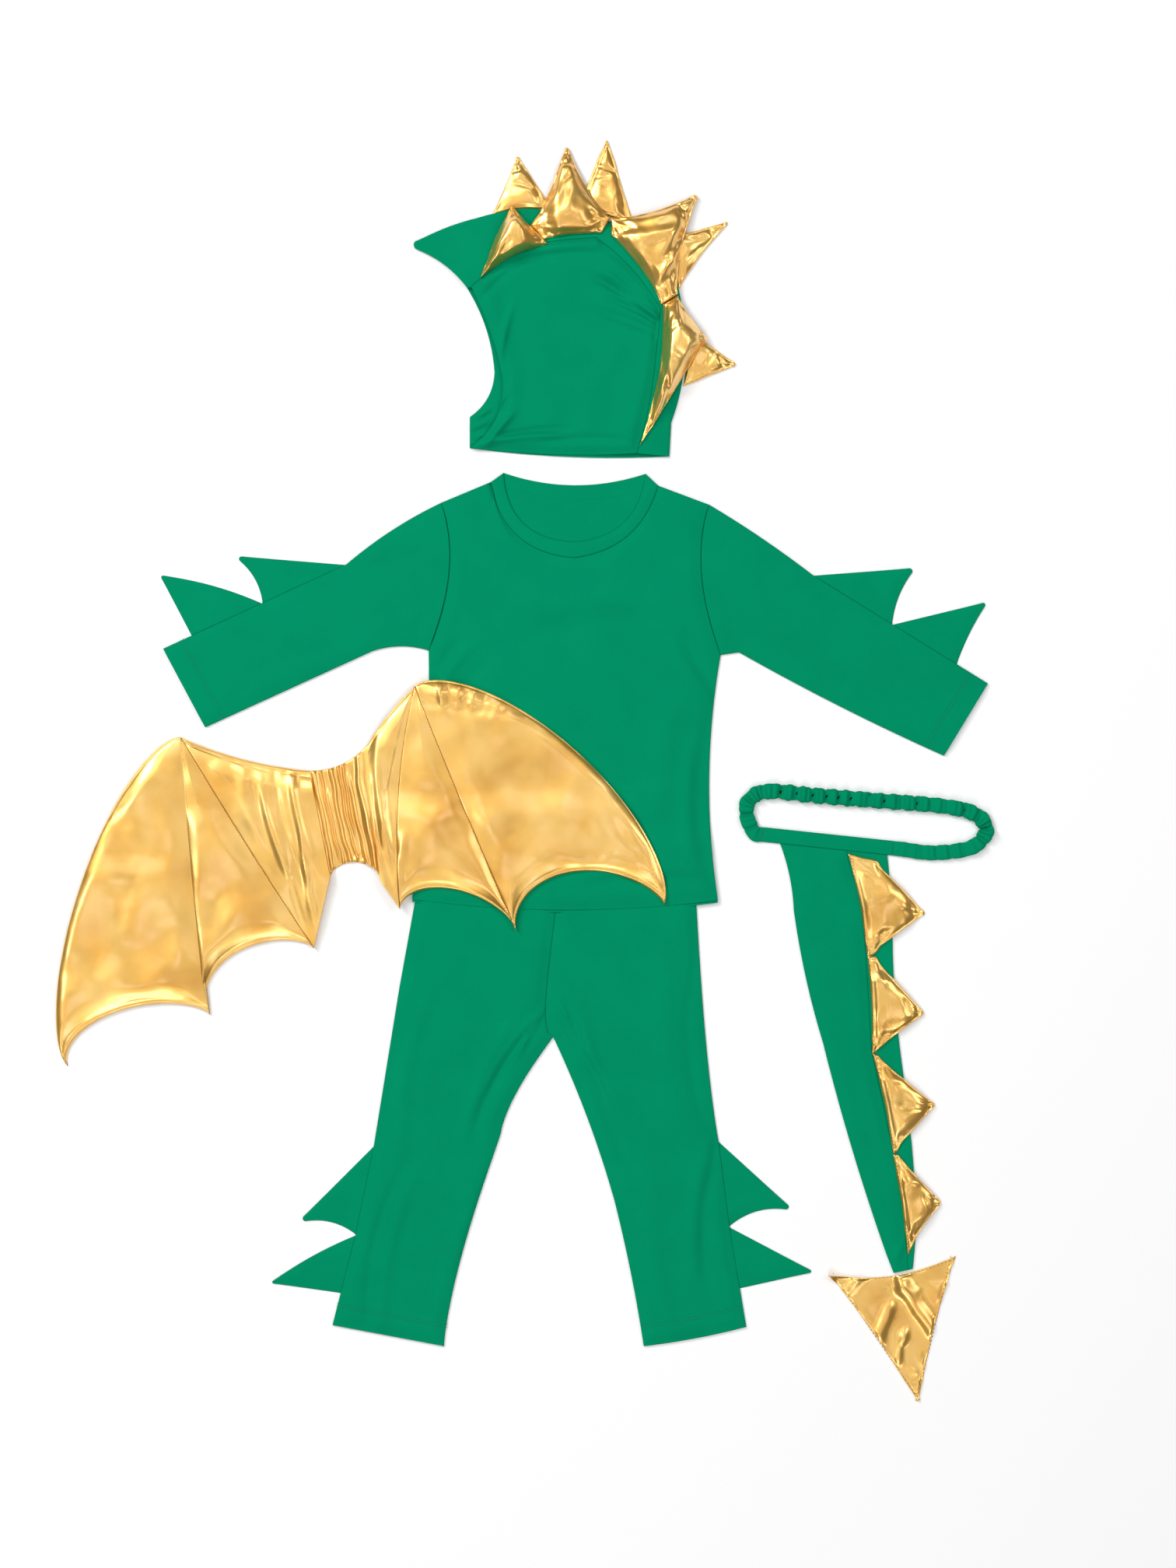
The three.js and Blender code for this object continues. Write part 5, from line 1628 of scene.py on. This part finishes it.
# %% Heights under stitches
def height_on(piece):
    """A function from places to the height of a piece's upper face, in mm."""
    depsgraph = bpy.context.evaluated_depsgraph_get()
    shape = piece.evaluated_get(depsgraph)

    def one(place):
        top = ((place[0] + SHIFT[0]) * MM, (place[1] + SHIFT[1]) * MM, 0.1)
        hit, where, _, _ = shape.ray_cast(top, (0, 0, -1))
        return where[2] / MM if hit else np.nan

    def heights(places):
        found = np.array([one(place) for place in places])
        known = np.isfinite(found)
        return np.interp(np.arange(len(found)), np.flatnonzero(known), found[known])

    return heights


# %% Hem and cuff stitches
HEM_DEPTH = 21
TWIN_NEEDLE = 3.2
bpy.context.view_layer.update()
hems = [
    (f"hem_stitches_{side}", f"trouser_{side}_front", leg_edges[side]["south"])
    for side in ("left", "right")
]
cuffs = [
    (f"cuff_stitches_{side}", f"shirt_sleeve_{side}", sleeve_edges[side]["north"])
    for side in ("left", "right")
]
for name, piece, edge in hems + cuffs:
    height = height_on(bpy.data.objects[piece])
    for k in (0, 1):
        path = beside(edge, HEM_DEPTH + TWIN_NEEDLE * k)
        stitch_row(f"{name}_{k}", path, height, green_thread)

# %% Wing stitches
# These stitches are real, but the dark brown of their thread is painted shade for the shadow in the
# stitch pits of the sewn lines.
SEWN_LINES = (("cusp", "sewn", 1), ("inner_cusp", "inner_sewn", -1))
OFF_THE_LINE = 0.45
WING_STITCH = {"length": 1.8, "pitch": 2.9, "radius": 0.26}
for side, shape in WINGS.items():
    height = height_on(bpy.data.objects[f"wing_{side}_field_2"])
    turned = 1 if side == "left" else -1
    for cusp, bow, into_field in SEWN_LINES:
        line = run((*shape["peak"], shape["bows"][bow]), shape[cusp])
        path = beside(line, OFF_THE_LINE * turned * into_field)
        stitch_row(f"wing_{side}_{bow}_stitches", path, height, gold_thread_painted_shade, **WING_STITCH)

# %% Foil edge stitches
# These rows are stitched seams, and their dark brown thread is also painted shade for the dark
# turned edges of the foil.
FOIL_STITCH = {"length": 2.2, "radius": 0.3}
SPIKE_INSET = 2.6
height = height_on(arrow)
ARROW_EDGES = {
    "base": (ARROW["start"], ARROW["end"], ARROW["base_bow"], -1),
    "left": (ARROW["start"], ARROW["tip"], ARROW["start_bow"], 1),
    "right": (ARROW["end"], ARROW["tip"], -ARROW["end_bow"], -1),
}
for name, (start, end, bow, inward) in ARROW_EDGES.items():
    path = beside(run((*start, bow), end), TWIN_NEEDLE * inward)
    stitch_row(f"arrow_{name}_stitches", path, height, gold_thread_painted_shade, pitch=4.4, **FOIL_STITCH)

for k, row in enumerate(TAIL_SPIKES):
    height = height_on(bpy.data.objects[f"sewn_tail_spike_{k + 1}"])
    path = beside(run(row["start"], row["end"]), SPIKE_INSET)
    stitch_row(f"tail_spike_{k + 1}_stitches", path, height, gold_thread_painted_shade, pitch=3.8, **FOIL_STITCH)

# %% [markdown]
# ## The surface and the light
#
# A pale floor under a white light. The key stands to the upper left, with a fill to the right and
# weaker lights below and above. Small panels and a ring of larger ones hang from the ceiling, so
# that foil has bright and dark things to catch on its creases, while the dull jersey stays nearly
# even.

# %% Floor
FLOOR_HALF = 3.0
FLOOR_DROP = 0.0004
floor_mesh = bpy.data.meshes.new("floor")
signs = [(-1, -1), (1, -1), (1, 1), (-1, 1)]
floor_mesh.from_pydata([(FLOOR_HALF * x, FLOOR_HALF * y, 0) for x, y in signs], [], [(0, 1, 2, 3)])
floor = linked("floor", floor_mesh)
floor.location.z = -FLOOR_DROP
floor_material, _, floor_shader = new_material("pale_floor", Roughness=0.95, Specular_IOR_Level=0.0)
floor_shader.inputs["Base Color"].default_value = (0.95, 0.95, 0.95, 1)
floor_mesh.materials.append(floor_material)


# %% Lights
def soft_light(name, place, target, size, energy):
    """A square area light that faces a target."""
    data = bpy.data.lights.new(name, "AREA")
    data.shape = "SQUARE"
    data.size = size
    data.energy = energy
    light = linked(name, data)
    direction = np.array(target, float) - np.array(place, float)
    direction /= np.linalg.norm(direction)
    light.location = place
    turn, tilt = np.arctan2(-direction[0], direction[1]), np.arccos(-direction[2])
    light.rotation_euler = (float(tilt), 0, float(turn))


MIDDLE = (0, 0, 0)
soft_light("key", (-2.2, 2.0, 2.7), MIDDLE, size=1.4, energy=74)
soft_light("fill", (2.5, 0.5, 2.8), MIDDLE, size=1.2, energy=18)
soft_light("low", (-0.3, -2.8, 2.8), MIDDLE, size=1.2, energy=28)
soft_light("back", (0.6, 2.8, 2.9), MIDDLE, size=1.0, energy=10)
WORLD_STRENGTH = 0.14
CEILING = 5.0
PANEL_SIZE = 0.7
RING_SIZE = 1.1
# x, y and power in watts
PANELS = [
    (-1.25, 0.95, 5.6), (-0.75, -0.75, 5.6), (0.3, 0.2, 2.2), (0.35, 1.3, 5.6),
    (1.2, -0.35, 6.4), (0.5, -1.7, 4.4),
]
for k, (x, y, power) in enumerate(PANELS, start=1):
    soft_light(f"ceiling_panel_{k}", (x, y, CEILING), (x, y - 0.001, 0), PANEL_SIZE, power)
RING = [(-3.0, 0.2, 36), (-1.0, 2.9, 34), (2.6, 1.6, 18), (1.9, -3.0, 20), (-1.9, -2.5, 20)]
for k, (x, y, power) in enumerate(RING, start=1):
    soft_light(f"ring_panel_{k}", (x, y, CEILING), MIDDLE, RING_SIZE, power)

world = bpy.data.worlds.new("studio")
bpy.context.scene.world = world
world.use_nodes = True
background = world.node_tree.nodes["Background"]
background.inputs["Color"].default_value = (1, 1, 1, 1)
background.inputs["Strength"].default_value = WORLD_STRENGTH
bpy.context.scene.view_settings.view_transform = "Standard"
